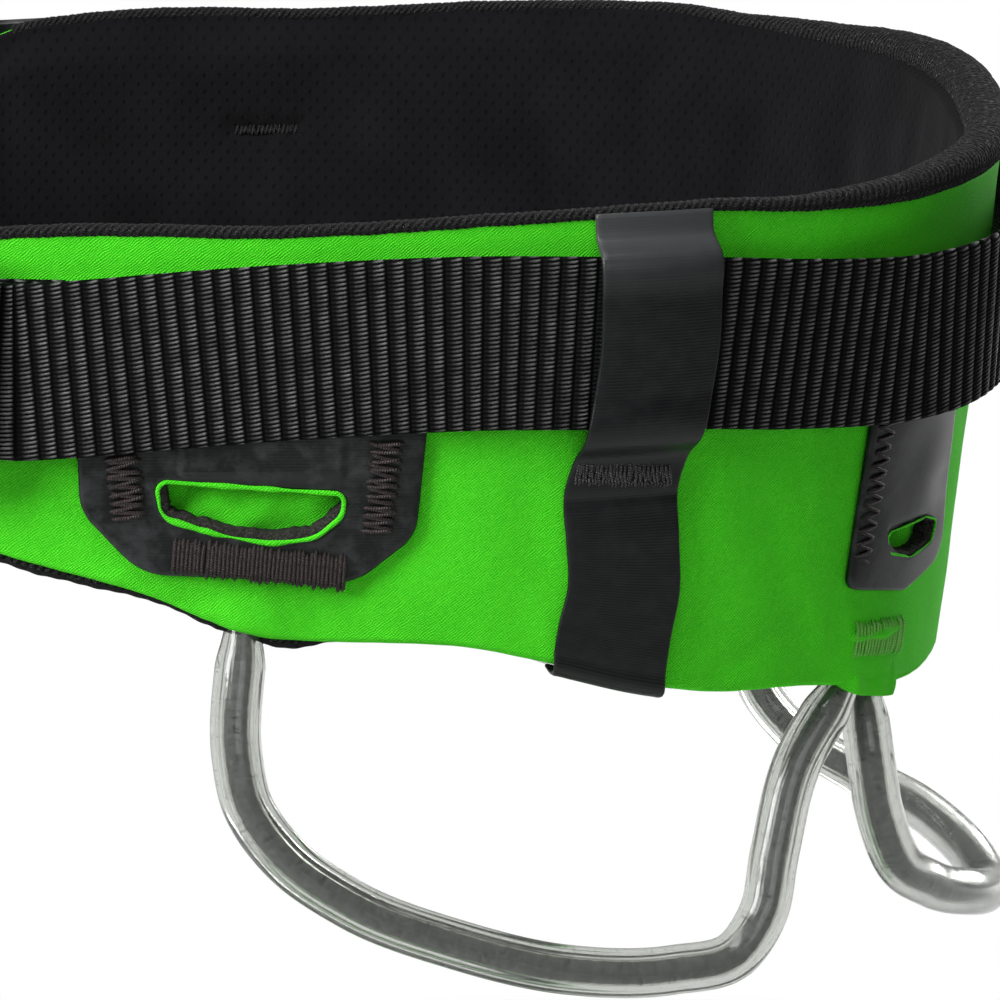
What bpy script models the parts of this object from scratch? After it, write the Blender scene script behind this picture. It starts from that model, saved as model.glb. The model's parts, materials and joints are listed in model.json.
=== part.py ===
"""Sit harness for climbing: padded waist belt, two leg loops, belay loop and gear loops.

Lengths in this file are millimetres; solid() scales every mesh to metres. +Z is up, +X is the
wearer's left and +Y the wearer's back. Shapes are laid out from the centre of the waist ring, level
with the middle of the waist webbing; place() then puts the harness's origin on the front face of
the belay loop.
"""

import math

import bmesh
import bpy
from mathutils import Matrix, Vector

MM = 0.001

# Waist ring: a rounded-square course, in plan.
WAIST_HALF_WIDTH = 118.0
WAIST_BACK_DEPTH = 140.0
WAIST_FRONT_DEPTH = 114.2
WAIST_SQUARENESS = 2.789
WAIST_LEAN = (-0.0278, 0.001)  # outward shift per mm of height, at y = 0 and its change per mm of y

# Padding, from the outside inwards.
SHELL_THICKNESS = 1.0
FOAM_THICKNESS = 5.0
LINING_THICKNESS = 1.0
GAP = 0.3
PAD_END = 277.0  # half length of the padded part, along the ring

# Webbing.
WAIST_WEB_WIDTH = 30.0
LEG_WEB_WIDTH = 20.0
WEB_THICKNESS = 1.8
KEEPER_TAPE_WIDTH = 20.4
KEEPER_TAPE_THICKNESS = 1.0
PATCH_THICKNESS = 1.2

# Gear loops.
TUBE_RADIUS = 4.35
TUBE_BORE = 2.4
CORE_RADIUS = 2.0
TUBE_START = 6.2  # from the hinge line to the end of the tube

# Belay loop and tie-in points.
TIE_IN_Y = -132.0
BELAY_DROP = 75.0  # between the two tie-in points
BELAY_INNER_RADIUS = 8.0
BELAY_THICKNESS = 4.5
BELAY_WIDTH = 16.0
TIE_IN_WIDTH = 13.0
TIE_IN_THICKNESS = 3.0
BELAY_FACE_Z = -28.0
ORIGIN = Vector((0.0, TIE_IN_Y - BELAY_INNER_RADIUS - BELAY_THICKNESS, BELAY_FACE_Z))

# Leg loops.
LEG_CENTRE = (87.0, -10.0, -250.0)
LEG_HALF_WIDTH = 76.0
LEG_HALF_DEPTH = 82.0
LEG_SQUARENESS = 2.2
LEG_SLOPE = 0.35  # the loop rises towards the front
LEG_PAD_HALF_HEIGHT = 30.0

# Buckles: a frame plate on the belt with a slider plate on top of it.
BUCKLE_THICKNESS = 3.0
SLIDER_THICKNESS = 2.5
BUCKLE_LIFT = 5.0  # underside of the frame above the ring at the buckle's middle
WAIST_BUCKLE_S = 272.0
LEG_BUCKLE_S = 190.0

COLOURS = {
    "shell_green": ((0.045, 0.52, 0.012), 0.8, 0.0),
    "foam_grey": ((0.25, 0.25, 0.26), 0.9, 0.0),
    "mesh_black": ((0.012, 0.012, 0.013), 0.95, 0.0),
    "webbing_black": ((0.02, 0.02, 0.022), 0.75, 0.0),
    "tape_black": ((0.018, 0.019, 0.02), 0.45, 0.0),
    "elastic_black": ((0.016, 0.016, 0.017), 0.85, 0.0),
    "buckle_black": ((0.02, 0.02, 0.022), 0.35, 0.6),
    "tube_clear": ((0.55, 0.57, 0.55), 0.15, 0.0),
    "core_grey": ((0.08, 0.08, 0.085), 0.8, 0.0),
    "hook_plastic": ((0.02, 0.02, 0.02), 0.4, 0.0),
}


def clear_scene():
    for item in list(bpy.data.objects):
        bpy.data.objects.remove(item, do_unlink=True)


def material(name):
    found = bpy.data.materials.get(name)
    if found:
        return found
    colour, roughness, metallic = COLOURS[name]
    made = bpy.data.materials.new(name)
    made.use_nodes = True
    shader = made.node_tree.nodes["Principled BSDF"]
    shader.inputs["Base Color"].default_value = (*colour, 1.0)
    shader.inputs["Roughness"].default_value = roughness
    shader.inputs["Metallic"].default_value = metallic
    return made


def lerp(a, b, share):
    return a + (b - a) * share


class Profile:
    """A smooth height along the ring through a few (s, height) points, the same on both sides."""

    def __init__(self, *points):
        self.points = points

    def __call__(self, s):
        points = self.points
        s = min(max(abs(s), points[0][0]), points[-1][0])
        last = len(points) - 2
        i = max(k for k in range(last + 1) if points[k][0] <= s)
        (s0, h0), (s1, h1) = points[i], points[i + 1]

        def slope(k):
            if k == 0:
                return 0.0
            before, after = points[k - 1], points[min(k + 1, len(points) - 1)]
            return (after[1] - before[1]) / (after[0] - before[0])

        span = s1 - s0
        t = (s - s0) / span
        return (
            h0 * (1 + 2 * t) * (1 - t) ** 2
            + slope(i) * span * t * (1 - t) ** 2
            + h1 * t * t * (3 - 2 * t)
            + slope(i + 1) * span * t * t * (t - 1)
        )


class Ring:
    """A superellipse course round the body or a thigh.

    s is the distance along it from the back centre, positive towards +X; z is the height across
    it and out the distance outwards from it.
    """

    STEPS = 1440

    def __init__(self, half_width, back, front, squareness, lean=(0.0, 0.0), centre=(0, 0, 0), slope=0.0):
        self.half_width, self.back, self.front = half_width, back, front
        self.power = 2.0 / squareness
        self.lean = lean
        self.centre = Vector(centre)
        self.tilt = Matrix.Rotation(-math.atan(slope), 3, "X")
        self.lengths = [0.0]
        self.angles = [math.pi / 2 - 2 * math.pi * i / self.STEPS for i in range(self.STEPS + 1)]
        before = self.plan(self.angles[0])
        for angle in self.angles[1:]:
            here = self.plan(angle)
            self.lengths.append(self.lengths[-1] + (here - before).length)
            before = here
        self.total = self.lengths[-1]

    def plan(self, angle):
        c, s = math.cos(angle), math.sin(angle)
        depth = self.back if s > 0 else self.front
        x = math.copysign(abs(c) ** self.power, c) * self.half_width
        return Vector((x, math.copysign(abs(s) ** self.power, s) * depth, 0.0))

    def angle(self, s):
        s %= self.total
        low, high = 0, self.STEPS
        while high - low > 1:
            middle = (low + high) // 2
            if self.lengths[middle] <= s:
                low = middle
            else:
                high = middle
        share = (s - self.lengths[low]) / (self.lengths[high] - self.lengths[low])
        return lerp(self.angles[low], self.angles[high], share)

    def flat_normal(self, s):
        angle = self.angle(s)
        c, v = math.cos(angle), math.sin(angle)
        depth = self.back if v > 0 else self.front
        power = 2 - self.power
        x = math.copysign(abs(c) ** power, c) / self.half_width
        return Vector((x, math.copysign(abs(v) ** power, v) / depth, 0.0)).normalized()

    def point(self, s, z, out=0.0):
        base = self.plan(self.angle(s))
        shift = out + (self.lean[0] + self.lean[1] * base.y) * z
        local = base + self.flat_normal(s) * shift + Vector((0, 0, z))
        return self.centre + self.tilt @ local

    def normal(self, s):
        return self.tilt @ self.flat_normal(s)

    def up(self, s):
        """Unit vector across the ring, which leans with its surface."""
        return (self.point(s, 1.0) - self.point(s, -1.0)).normalized()

    def tangent(self, s):
        """Unit vector along the ring, in the direction of growing s."""
        return (self.point(s + 0.5, 0.0) - self.point(s - 0.5, 0.0)).normalized()


WAIST = Ring(WAIST_HALF_WIDTH, WAIST_BACK_DEPTH, WAIST_FRONT_DEPTH, WAIST_SQUARENESS, WAIST_LEAN)
LEG = Ring(LEG_HALF_WIDTH, LEG_HALF_DEPTH, LEG_HALF_DEPTH, LEG_SQUARENESS, centre=LEG_CENTRE, slope=LEG_SLOPE)

WAIST_TOP = Profile((0, 19.3), (60, 19.8), (90, 20.0), (112, 21.4), (128, 22.9), (160, 22.3), (203, 20.3),
                    (232, 20.6), (248, 19.8), (262, 18.4), (271, 15.5), (PAD_END, 12.0))
WAIST_BOTTOM = Profile((0, -74.5), (45, -74.0), (71, -72.4), (103, -66.8), (125, -64.6), (141, -61.1),
                       (157, -56.3), (173, -52.6), (203, -50.6), (211, -48.8), (226, -42.4), (249, -35.9),
                       (264, -31.0), (PAD_END, -25.0))
BINDING_END = 266.0
BINDING_HEIGHT = Profile((0, 5.0), (60, 4.8), (92, 3.4), (120, 1.8), (180, 1.6), (BINDING_END, 1.6))
BINDING_HALF_WIDTH = 4.6
BINDING_PLAIN = 3.0  # height above which the binding widens and flares outwards
WEB_CENTRE = Profile((0, -3.6), (60, -2.6), (77, -4.0), (90, -4.5), (111, -2.7), (128, -0.8), (151, 0.7),
                     (173, 1.3), (203, 0.1), (249, -3.3), (275, -3.6))
WEB_STAND_OFF = Profile((0, 3.0), (40, 4.5), (72, 6.0), (95, 1.5), (112, 0.0), (222, 0.0), (238, 0.8),
                        (275, 0.8))
WAIST_PLATE_Z = -2.8


def face_outwards(made):
    bmesh.ops.recalc_face_normals(made, faces=made.faces)
    if made.calc_volume(signed=True) < 0:
        bmesh.ops.reverse_faces(made, faces=made.faces)


def solid(name, vertices, faces, slot, origin=(0, 0, 0)):
    """A mesh object from points in millimetres, with its origin at a point of the same space."""
    mesh = bpy.data.meshes.new(name)
    made = bmesh.new()
    origin = Vector(origin)
    corners = [made.verts.new((Vector(v) - origin) * MM) for v in vertices]
    for face in faces:
        made.faces.new([corners[i] for i in face])
    face_outwards(made)
    made.to_mesh(mesh)
    made.free()
    return place(name, mesh, slot, origin)


def place(name, mesh, slot, origin=(0, 0, 0)):
    mesh.materials.append(material(slot))
    made = bpy.data.objects.new(name, mesh)
    made.location = (Vector(origin) - ORIGIN) * MM
    PARTS.objects.link(made)
    return made


def loft(name, sections, slot, closed=False, origin=(0, 0, 0)):
    """A solid through cross-sections of equally many points, capped at both ends unless closed."""
    count = len(sections[0])
    vertices = [p for section in sections for p in section]
    faces = []
    spans = len(sections) if closed else len(sections) - 1
    for i in range(spans):
        a, b = i * count, (i + 1) % len(sections) * count
        for k in range(count):
            after = (k + 1) % count
            faces.append((a + k, a + after, b + after, b + k))
    if not closed:
        faces.append(tuple(range(count)))
        faces.append(tuple(range(len(vertices) - count, len(vertices))))
    return solid(name, vertices, faces, slot, origin)


def ribbon(name, points, width, thickness, slot, across=None, normals=None, closed=False, origin=(0, 0, 0)):
    """Flat webbing along a path; across gives its width direction, or normals its facing."""
    count = len(points)
    sections = []
    for i, point in enumerate(points):
        before = points[(i - 1) % count] if closed or i else point
        after = points[(i + 1) % count] if closed or i < count - 1 else point
        along = (after - before).normalized()
        if across:
            side = across[i] - along * across[i].dot(along)
        else:
            side = normals[i].cross(along)
        side = side.normalized() * width / 2
        face = along.cross(side).normalized() * thickness / 2
        sections.append((point - side - face, point + side - face, point + side + face, point - side + face))
    return loft(name, sections, slot, closed, origin)


def smooth_path(controls, steps):
    """Points along a Catmull-Rom curve through the controls, `steps` to each span."""
    controls = [Vector(p) for p in controls]
    ends = [controls[0] * 2 - controls[1], *controls, controls[-1] * 2 - controls[-2]]
    path = []
    for i in range(1, len(ends) - 2):
        a, b, c, d = ends[i - 1 : i + 3]
        for k in range(steps):
            t = k / steps
            bend = (a * 2 - b * 5 + c * 4 - d) * t**2 + (b * 3 - a - c * 3 + d) * t**3
            path.append((b * 2 + (c - a) * t + bend) / 2)
    return [*path, controls[-1]]


def mirrored(source, name):
    """A copy of a left-hand piece for the right-hand side."""
    mesh = source.data.copy()
    mesh.name = name
    flip = Matrix.Scale(-1, 4, (1, 0, 0))
    mesh.transform(flip)
    mesh.flip_normals()
    made = bpy.data.objects.new(name, mesh)
    made.location = (-source.location.x, source.location.y, source.location.z)
    PARTS.objects.link(made)
    return made


def rounded_outline(corners, radius, steps=3):
    """A closed outline with each corner rounded by an arc; radius may be one number or one a corner."""
    count = len(corners)
    radii = radius if isinstance(radius, (list, tuple)) else [radius] * count
    outline = []
    for i, corner in enumerate(corners):
        here = Vector(corner)
        to_before = (Vector(corners[i - 1]) - here).normalized()
        to_after = (Vector(corners[(i + 1) % count]) - here).normalized()
        half = to_before.angle(to_after) / 2
        cut = radii[i] / math.tan(half)
        centre = here + (to_before + to_after).normalized() * radii[i] / math.sin(half)
        start = here + to_before * cut - centre
        turn = start.angle_signed(here + to_after * cut - centre)
        for k in range(steps + 1):
            spin = -turn * k / steps
            c, s = math.cos(spin), math.sin(spin)
            outline.append((centre.x + start.x * c - start.y * s, centre.y + start.x * s + start.y * c))
    return outline


def flat_mesh(name, outlines, thickness):
    """A plate in the XY plane from an outer outline and its holes, as a welded mesh."""
    curve = bpy.data.curves.new(name, "CURVE")
    curve.dimensions = "2D"
    curve.fill_mode = "BOTH"
    curve.extrude = thickness / 2
    for outline in outlines:
        spline = curve.splines.new("POLY")
        spline.points.add(len(outline) - 1)
        for point, (x, y) in zip(spline.points, outline):
            point.co = (x, y, 0, 1)
        spline.use_cyclic_u = True
    guide = bpy.data.objects.new(name, curve)
    PARTS.objects.link(guide)
    graph = bpy.context.evaluated_depsgraph_get()
    mesh = bpy.data.meshes.new_from_object(guide.evaluated_get(graph))
    bpy.data.objects.remove(guide, do_unlink=True)
    mesh.name = name
    return mesh


def reshape(mesh, move, cuts=()):
    """Weld a plate's loose caps, slice it at x = cuts, move each point, and turn its faces out."""
    made = bmesh.new()
    made.from_mesh(mesh)
    bmesh.ops.remove_doubles(made, verts=made.verts, dist=0.0001)
    for x in cuts:
        everything = [*made.verts, *made.edges, *made.faces]
        bmesh.ops.bisect_plane(made, geom=everything, plane_co=(x, 0, 0), plane_no=(1, 0, 0), dist=0.001)
    for vertex in made.verts:
        vertex.co = move(vertex.co) * MM
    face_outwards(made)
    made.to_mesh(mesh)
    made.free()
    mesh.materials.clear()


class Plate:
    """Local frame of a buckle on a ring: u along the ring, w outwards and z across."""

    def __init__(self, ring, s, z):
        self.origin = ring.point(s, z)
        self.along, self.up = ring.tangent(s), ring.up(s)
        self.out = self.along.cross(self.up).normalized()
        if self.out.dot(ring.normal(s)) < 0:
            self.out = -self.out

    def point(self, u, w, z=0.0):
        return self.origin + self.along * u + self.out * w + self.up * z

    def plate(self, name, outlines, w, thickness, slot, pivot):
        mesh = flat_mesh(name, outlines, thickness)
        middle = w + thickness / 2
        reshape(mesh, lambda p: self.point(p.x, middle + p.z, p.y) - pivot)
        return place(name, mesh, slot, pivot)


def box_outline(u0, u1, half, radius, steps=3):
    return rounded_outline([(u0, -half), (u1, -half), (u1, half), (u0, half)], radius, steps)


def buckle(prefix, ring, s, z, web_width, pivot=None):
    """The two plates of a double-back buckle. Returns its local frame.

    The frame plate's own origin is the pivot, or the middle of the buckle without one.
    """
    spot = Plate(ring, s, z)
    frame_origin = Vector(pivot) if pivot else spot.origin
    window = web_width / 2 + 1.6
    outer = window + 3.6
    frame_outline = box_outline(-23.0, 19.0, outer, 6.0)
    rear_window = box_outline(-17.5, -11.5, window, 1.2, 2)
    front_window = box_outline(-6.5, 13.5, window, 1.5, 2)
    spot.plate(f"{prefix}_frame", [frame_outline, rear_window, front_window], BUCKLE_LIFT, BUCKLE_THICKNESS,
               "buckle_black", frame_origin)
    top = BUCKLE_LIFT + BUCKLE_THICKNESS + 0.4
    pivot = spot.point(-2.0, top + SLIDER_THICKNESS / 2)
    slider_outline = box_outline(-3.6, 9.5, outer - 0.6, 3.0)
    slot = box_outline(-0.5, 4.5, window, 1.5, 2)
    spot.plate(f"{prefix}_slider", [slider_outline, slot], top, SLIDER_THICKNESS, "buckle_black", pivot)
    return spot


def eye_path(spot, ring, s):
    """Webbing turned round the buckle's anchor bar: from the belt over the bar and back under it."""
    reach = -19.0
    surface = (ring.point(s + reach, 0.0) - ring.point(s, 0.0)).dot(spot.out)
    over = [(reach, surface + 3.6), (-16.2, 3.6), (-14.2, 7.0), (-12.2, 9.2), (-9.0, 9.7), (-6.0, 9.3), (-4.7, 6.5)]
    under = [(-6.0, 3.8), (-9.0, 3.0), (-13.0, 1.4), (reach, surface + 1.35)]
    return [spot.point(u, w) for u, w in over + under]


def double_back_path():
    """Strap led under the frame, up through both plates, over the slider and back, as (u, w)."""
    return [(21.0, 1.6), (14.0, 2.2), (8.0, 2.8), (4.0, 4.2), (2.2, 7.0), (2.0, 11.0), (3.4, 14.2), (6.5, 15.3),
            (10.5, 14.3), (14.5, 11.6), (20.0, 9.8)]


def ring_path(ring, s_values, z_of, out_of):
    return [ring.point(s, z_of(s), out_of(s)) for s in s_values]


def stations(start, end, step):
    count = max(1, round(abs(end - start) / step))
    return [lerp(start, end, i / count) for i in range(count + 1)]


def pad_layer(name, ring, start, end, step, low, high, inner, outer, slot, origin=(0, 0, 0)):
    sections = []
    for s in stations(start, end, step):
        heights = (low(s), (low(s) + high(s)) / 2, high(s))
        section = [ring.point(s, z, inner) for z in reversed(heights)]
        section += [ring.point(s, z, outer) for z in heights]
        sections.append(section)
    return loft(name, sections, slot, origin=origin)


# ---------------------------------------------------------------- waist belt


def waist_padding():
    foam_outer = -SHELL_THICKNESS - GAP
    foam_inner = foam_outer - FOAM_THICKNESS
    lining_outer = foam_inner - GAP
    lining_inner = lining_outer - LINING_THICKNESS
    span = (WAIST, -PAD_END, PAD_END, 11.5, WAIST_BOTTOM, WAIST_TOP)
    pad_layer("waist_shell", *span, -SHELL_THICKNESS, 0.0, "shell_green")
    pad_layer("waist_foam", *span, foam_inner, foam_outer, "foam_grey")
    pad_layer("waist_lining", *span, lining_inner, lining_outer, "mesh_black")
    waist_binding(lining_inner / 2)


def waist_binding(middle):
    """Binding along the top edge, wider and flared towards the back."""
    sides = 6
    reach = 1.06  # of the section's corners, to hold a round section's area
    sections = []
    for s in stations(-BINDING_END, BINDING_END, 12.0):
        height = BINDING_HEIGHT(s)
        extra = max(height - BINDING_PLAIN, 0.0)
        half_width = BINDING_HALF_WIDTH + 0.25 * extra
        centre = WAIST_TOP(s) + GAP + height / 2
        flare = middle + 0.35 * extra
        section = []
        for k in range(sides):
            angle = 2 * math.pi * k / sides
            z = centre + height / 2 * reach * math.sin(angle)
            section.append(WAIST.point(s, z, flare + half_width * reach * math.cos(angle)))
        sections.append(section)
    loft("waist_top_binding", sections, "mesh_black")


def web_out(s):
    return 2.0 + WEB_THICKNESS / 2 + WEB_STAND_OFF(s)


def waist_webbing(spot):
    """Webbing round the back, from one buckle's anchor bar to the other's."""
    half = [WAIST.point(s, WEB_CENTRE(s), web_out(s)) for s in stations(0.0, 246.0, 11.0)]
    half += eye_path(spot, WAIST, WAIST_BUCKLE_S)
    half += [WAIST.point(s, WAIST_PLATE_Z, 1.3) for s in (246.0, 238.0)]
    up = [WAIST.up(s) for s in stations(0.0, 246.0, 11.0)]
    up += [spot.up] * (len(half) - len(up) - 2) + [WAIST.up(s) for s in (246.0, 238.0)]
    path, up = both_sides(half, up)
    ribbon("waist_webbing", path, WAIST_WEB_WIDTH, WEB_THICKNESS, "webbing_black", across=up)


def mirror_point(point):
    return Vector((-point.x, point.y, point.z))


def both_sides(half, directions):
    """A path that starts on the centre plane, and a direction for each point, continued to the right."""
    path = [mirror_point(p) for p in reversed(half[1:])] + half
    across = [mirror_point(d) for d in reversed(directions[1:])] + directions
    return path, across


def waist_front_strap(spot):
    """Webbing across the front: both ends go through the buckles and come back as tails."""
    tail_out = Profile((288, 9.4), (305, 7.4), (330, 6.0), (356, 5.6))
    tail = [WAIST.point(s, -2.0, tail_out(s)) for s in stations(356.0, 297.0, 10.0)]
    buckle_run = [spot.point(u, w) for u, w in reversed(double_back_path())]
    inner_s = stations(WAIST.total / 2, 299.0, 11.0)
    half = [WAIST.point(s, -1.5, 1.6) for s in inner_s] + buckle_run[::-1] + tail[::-1]
    up = [WAIST.up(s) for s in inner_s] + [spot.up] * len(buckle_run)
    up += [WAIST.up(s) for s in stations(297.0, 356.0, 10.0)]
    path, up = both_sides(half, up)
    ribbon("waist_front_strap", path, WAIST_WEB_WIDTH, WEB_THICKNESS, "webbing_black", across=up)


WAIST_KEEPER_S, LEG_KEEPER_S = 326.0, 242.0
KEEPER_INNER, KEEPER_OUTER = -1.6, 9.2  # of the elastic band's course, outwards from the ring


def strap_keeper(name, ring, s, z, web_width):
    """An elastic band round a strap and its tail."""
    low, high = z - web_width / 2 - 2.2, z + web_width / 2 + 2.2
    corners = rounded_outline([(KEEPER_INNER, low), (KEEPER_OUTER, low), (KEEPER_OUTER, high), (KEEPER_INNER, high)],
                              2.4, 2)
    base, normal = ring.point(s, 0.0), ring.normal(s)
    path = [base + normal * out + ring.up(s) * height for out, height in corners]
    along = [ring.tangent(s)] * len(path)
    return ribbon(name, path, 10.0, 1.2, "elastic_black", across=along, closed=True, origin=base)


def keeper_follow(s, z):
    """How much the tape's lower part rises to lie along the belt's slanting lower edge."""
    share = min(max((-30.0 - z) / 31.0, 0.0), 1.0)
    return share * (WAIST_BOTTOM(s) + 63.9)


def webbing_keeper():
    """Flat tape sewn over the webbing, from the top of the belt to round its lower edge."""
    stops = ((22.6, 139.3, 1.1), (18.6, 139.2, 1.6), (15.4, 139.1, 5.2), (8.0, 139.0, 5.3), (0.0, 139.1, 5.3),
             (-8.0, 140.1, 5.3), (-16.0, 141.6, 5.2), (-19.8, 142.6, 1.9), (-25.0, 144.0, 1.1),
             (-35.0, 143.7, 1.1), (-45.0, 143.3, 1.1), (-54.0, 144.8, 1.1), (-61.0, 145.6, 1.1),
             (-64.2, 145.7, 0.9), (-64.9, 145.8, -0.4), (-65.1, 145.9, -2.0), (-65.1, 145.9, -5.5))
    sections = []
    half = KEEPER_TAPE_WIDTH / 2
    for i, (z, s, out) in enumerate(stops):
        z0, _, out0 = stops[max(i - 1, 0)]
        z1, _, out1 = stops[min(i + 1, len(stops) - 1)]
        along = Vector((out1 - out0, z1 - z0)).normalized() * KEEPER_TAPE_THICKNESS / 2
        section = []
        for side, columns in ((1, (-half, 0.0, half)), (-1, (half, 0.0, -half))):
            for offset in columns:
                height = z + along.x * side + keeper_follow(s + offset, z)
                section.append(WAIST.point(s + offset, height, out - along.y * side))
        sections.append(section)
    left = loft("webbing_keeper_left", sections, "tape_black")
    mirrored(left, "webbing_keeper_right")


def patch(name, corners, radii, slot_corners, slot_radii):
    """A reinforcing patch with a slot to clip gear to, following the belt."""
    outer = rounded_outline(corners, radii, 2)
    slot = rounded_outline(slot_corners, slot_radii, 2)
    mesh = flat_mesh(f"{name}_left", [outer, slot], PATCH_THICKNESS)
    middle = 0.5 + PATCH_THICKNESS / 2
    low, high = min(p[0] for p in outer), max(p[0] for p in outer)
    reshape(mesh, lambda p: WAIST.point(p.x, p.y, middle + p.z), stations(low, high, 12.0)[1:-1])
    left = place(f"{name}_left", mesh, "tape_black")
    mirrored(left, f"{name}_right")


def clipper_patches():
    patch(
        "front_clipper_patch",
        [(177.6, -13.0), (236.4, -13.0), (236.0, -27.0), (226.0, -38.0), (190.0, -40.0), (179.6, -32.0)],
        [0.8, 0.8, 5.0, 9.0, 7.0, 5.0],
        [(222.9, -22.0), (223.0, -28.0), (213.0, -31.3), (204.0, -33.2), (196.0, -32.2), (191.4, -28.8),
         (191.2, -24.5)],
        [2.2, 3.5, 9.0, 9.0, 5.0, 2.2, 1.2],
    )
    patch(
        "rear_clipper_patch",
        [(92.2, -15.5), (96.2, -49.4), (77.0, -53.4), (60.5, -50.6), (60.5, -15.5)],
        [0.8, 2.5, 5.0, 5.0, 0.8],
        [(85.9, -41.0), (84.4, -45.0), (76.0, -47.4), (66.8, -46.4), (65.2, -42.8), (71.0, -41.0)],
        [1.2, 2.0, 4.0, 1.4, 1.0, 2.0],
    )


def stadium_path(top, radius, drop, arc_steps=8, side_steps=4):
    """A hanging ring in the YZ plane: two half circles joined by straight runs."""
    path = []
    for k in range(arc_steps + 1):
        angle = math.pi * k / arc_steps
        path.append(top + Vector((0, radius * math.cos(angle), radius * math.sin(angle))))
    for k in range(1, side_steps):
        path.append(top + Vector((0, -radius, -drop * k / side_steps)))
    for k in range(arc_steps + 1):
        angle = math.pi * (1 + k / arc_steps)
        path.append(top + Vector((0, radius * math.cos(angle), -drop + radius * math.sin(angle))))
    for k in range(1, side_steps):
        path.append(top + Vector((0, radius, -drop * (1 - k / side_steps))))
    return path


# ---------------------------------------------------------------- gear loops


def trimmed(path, cut):
    """The path without its first and last `cut` millimetres."""
    for _ in range(2):
        left = cut
        while (path[1] - path[0]).length < left:
            left -= (path[1] - path[0]).length
            path = path[1:]
        path = [path[0] + (path[1] - path[0]).normalized() * left, *path[1:]]
        path = path[::-1]
    return path


def circle_frames(path):
    """For each point, two vectors across the path that turn as little as possible."""
    frames = []
    side = Vector((1, 0, 0)).cross(path[1] - path[0])
    for i in range(len(path)):
        along = (path[min(i + 1, len(path) - 1)] - path[max(i - 1, 0)]).normalized()
        side = (side - along * side.dot(along)).normalized()
        frames.append((side, along.cross(side)))
    return frames


def pipe(name, path, outer, inner, sides, slot, origin):
    """A tube with an open bore, as one closed wall."""
    frames = circle_frames(path)

    def ring_at(i, radius):
        turns = [2 * math.pi * k / sides for k in range(sides)]
        return [path[i] + (frames[i][0] * math.cos(t) + frames[i][1] * math.sin(t)) * radius for t in turns]

    order = list(range(len(path)))
    rings = [ring_at(i, outer) for i in order] + [ring_at(i, inner) for i in reversed(order)]
    return loft(name, rings, slot, closed=True, origin=origin)


def rod(name, path, radius, sides, slot, origin):
    frames = circle_frames(path)
    sections = []
    for point, (side, other) in zip(path, frames):
        turns = [2 * math.pi * k / sides for k in range(sides)]
        sections.append([point + (side * math.cos(t) + other * math.sin(t)) * radius for t in turns])
    return loft(name, sections, slot, origin=origin)


GEAR_FRONT = (209.2, -50.8)  # where the side loop's front end meets the belt's lower edge
GEAR_REAR = (91.3, -70.4)
GEAR_BACK = (81.0, -73.4)
GEAR_DEPTH = -2.8  # of the hinge line below the shell's face
SIDE_LOOP = ((0.0, 0.0), (1.0, 19.5), (3.6, 27.5), (10.5, 35.5), (24.0, 43.2), (44.0, 48.8), (66.0, 51.9),
             (86.0, 50.6), (97.5, 47.2), (102.0, 40.0), (103.3, 29.0), (106.0, 13.0), (112.5, 0.0))
# SIDE_LOOP is measured along and below the anchors
SIDE_LOOP_TILT = math.radians(12.0)
REAR_LOOP = ((75.0, 116.0, -84.0), (72.0, 118.0, -95.0), (67.5, 121.6, -105.0), (57.0, 128.2, -112.5),
             (38.0, 137.4, -120.0), (10.0, 142.5, -127.0), (-20.0, 140.4, -128.6), (-45.0, 133.2, -128.2),
             (-66.0, 122.5, -127.5), (-78.0, 110.0, -122.0), (-80.5, 102.5, -112.0), (-79.5, 103.5, -98.0),
             (-76.5, 109.0, -85.0))


def gear_loop(name, path, pivot):
    tube = pipe(name, trimmed(path, TUBE_START), TUBE_RADIUS, TUBE_BORE, 8, "tube_clear", pivot)
    core_path = trimmed(path, TUBE_START - 1.5)
    core = rod(f"{name}_core", core_path, CORE_RADIUS, 6, "core_grey", pivot)
    return tube, core


def gear_loops():
    front, rear = WAIST.point(*GEAR_FRONT, GEAR_DEPTH), WAIST.point(*GEAR_REAR, GEAR_DEPTH)
    along = (rear - front).normalized()
    down = Vector((0, 0, -1))
    down = (down - along * down.dot(along)).normalized()
    out = down.cross(along)
    if out.x < 0:
        out = -out
    down = down * math.cos(SIDE_LOOP_TILT) + out * math.sin(SIDE_LOOP_TILT)
    reach = (rear - front).length / SIDE_LOOP[-1][0]
    controls = [front + along * u * reach + down * v for u, v in SIDE_LOOP]
    tube, core = gear_loop("gear_loop_left", smooth_path(controls, 2), (front + rear) / 2)
    mirrored(tube, "gear_loop_right")
    mirrored(core, "gear_loop_right_core")
    left = WAIST.point(*GEAR_BACK, GEAR_DEPTH)
    right = mirror_point(left)
    gear_loop("gear_loop_rear", smooth_path([left, *REAR_LOOP, right], 2), (left + right) / 2)


# ---------------------------------------------------------------- tie-in points and belay loop


def tie_in_points():
    half = [WAIST.point(s, 0.0, 5.6) for s in (370.0, 378.0)]
    half += [Vector(p) for p in ((26.0, -123.0, 0), (22.5, -128.6, 0), (18.5, -131.4, 0), (14.0, TIE_IN_Y, 0))]
    path = half + [mirror_point(p) for p in reversed(half)]
    up = [Vector((0, 0, 1))] * len(path)
    ribbon("upper_tie_in", path, TIE_IN_WIDTH, TIE_IN_THICKNESS, "webbing_black", across=up)
    pivot = Vector((0, TIE_IN_Y, 0))
    stadium = stadium_path(pivot, BELAY_INNER_RADIUS + BELAY_THICKNESS / 2, BELAY_DROP)
    side = [Vector((1, 0, 0))] * len(stadium)
    ribbon("belay_loop", stadium, BELAY_WIDTH, BELAY_THICKNESS, "webbing_black", across=side, closed=True,
           origin=pivot)


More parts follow.
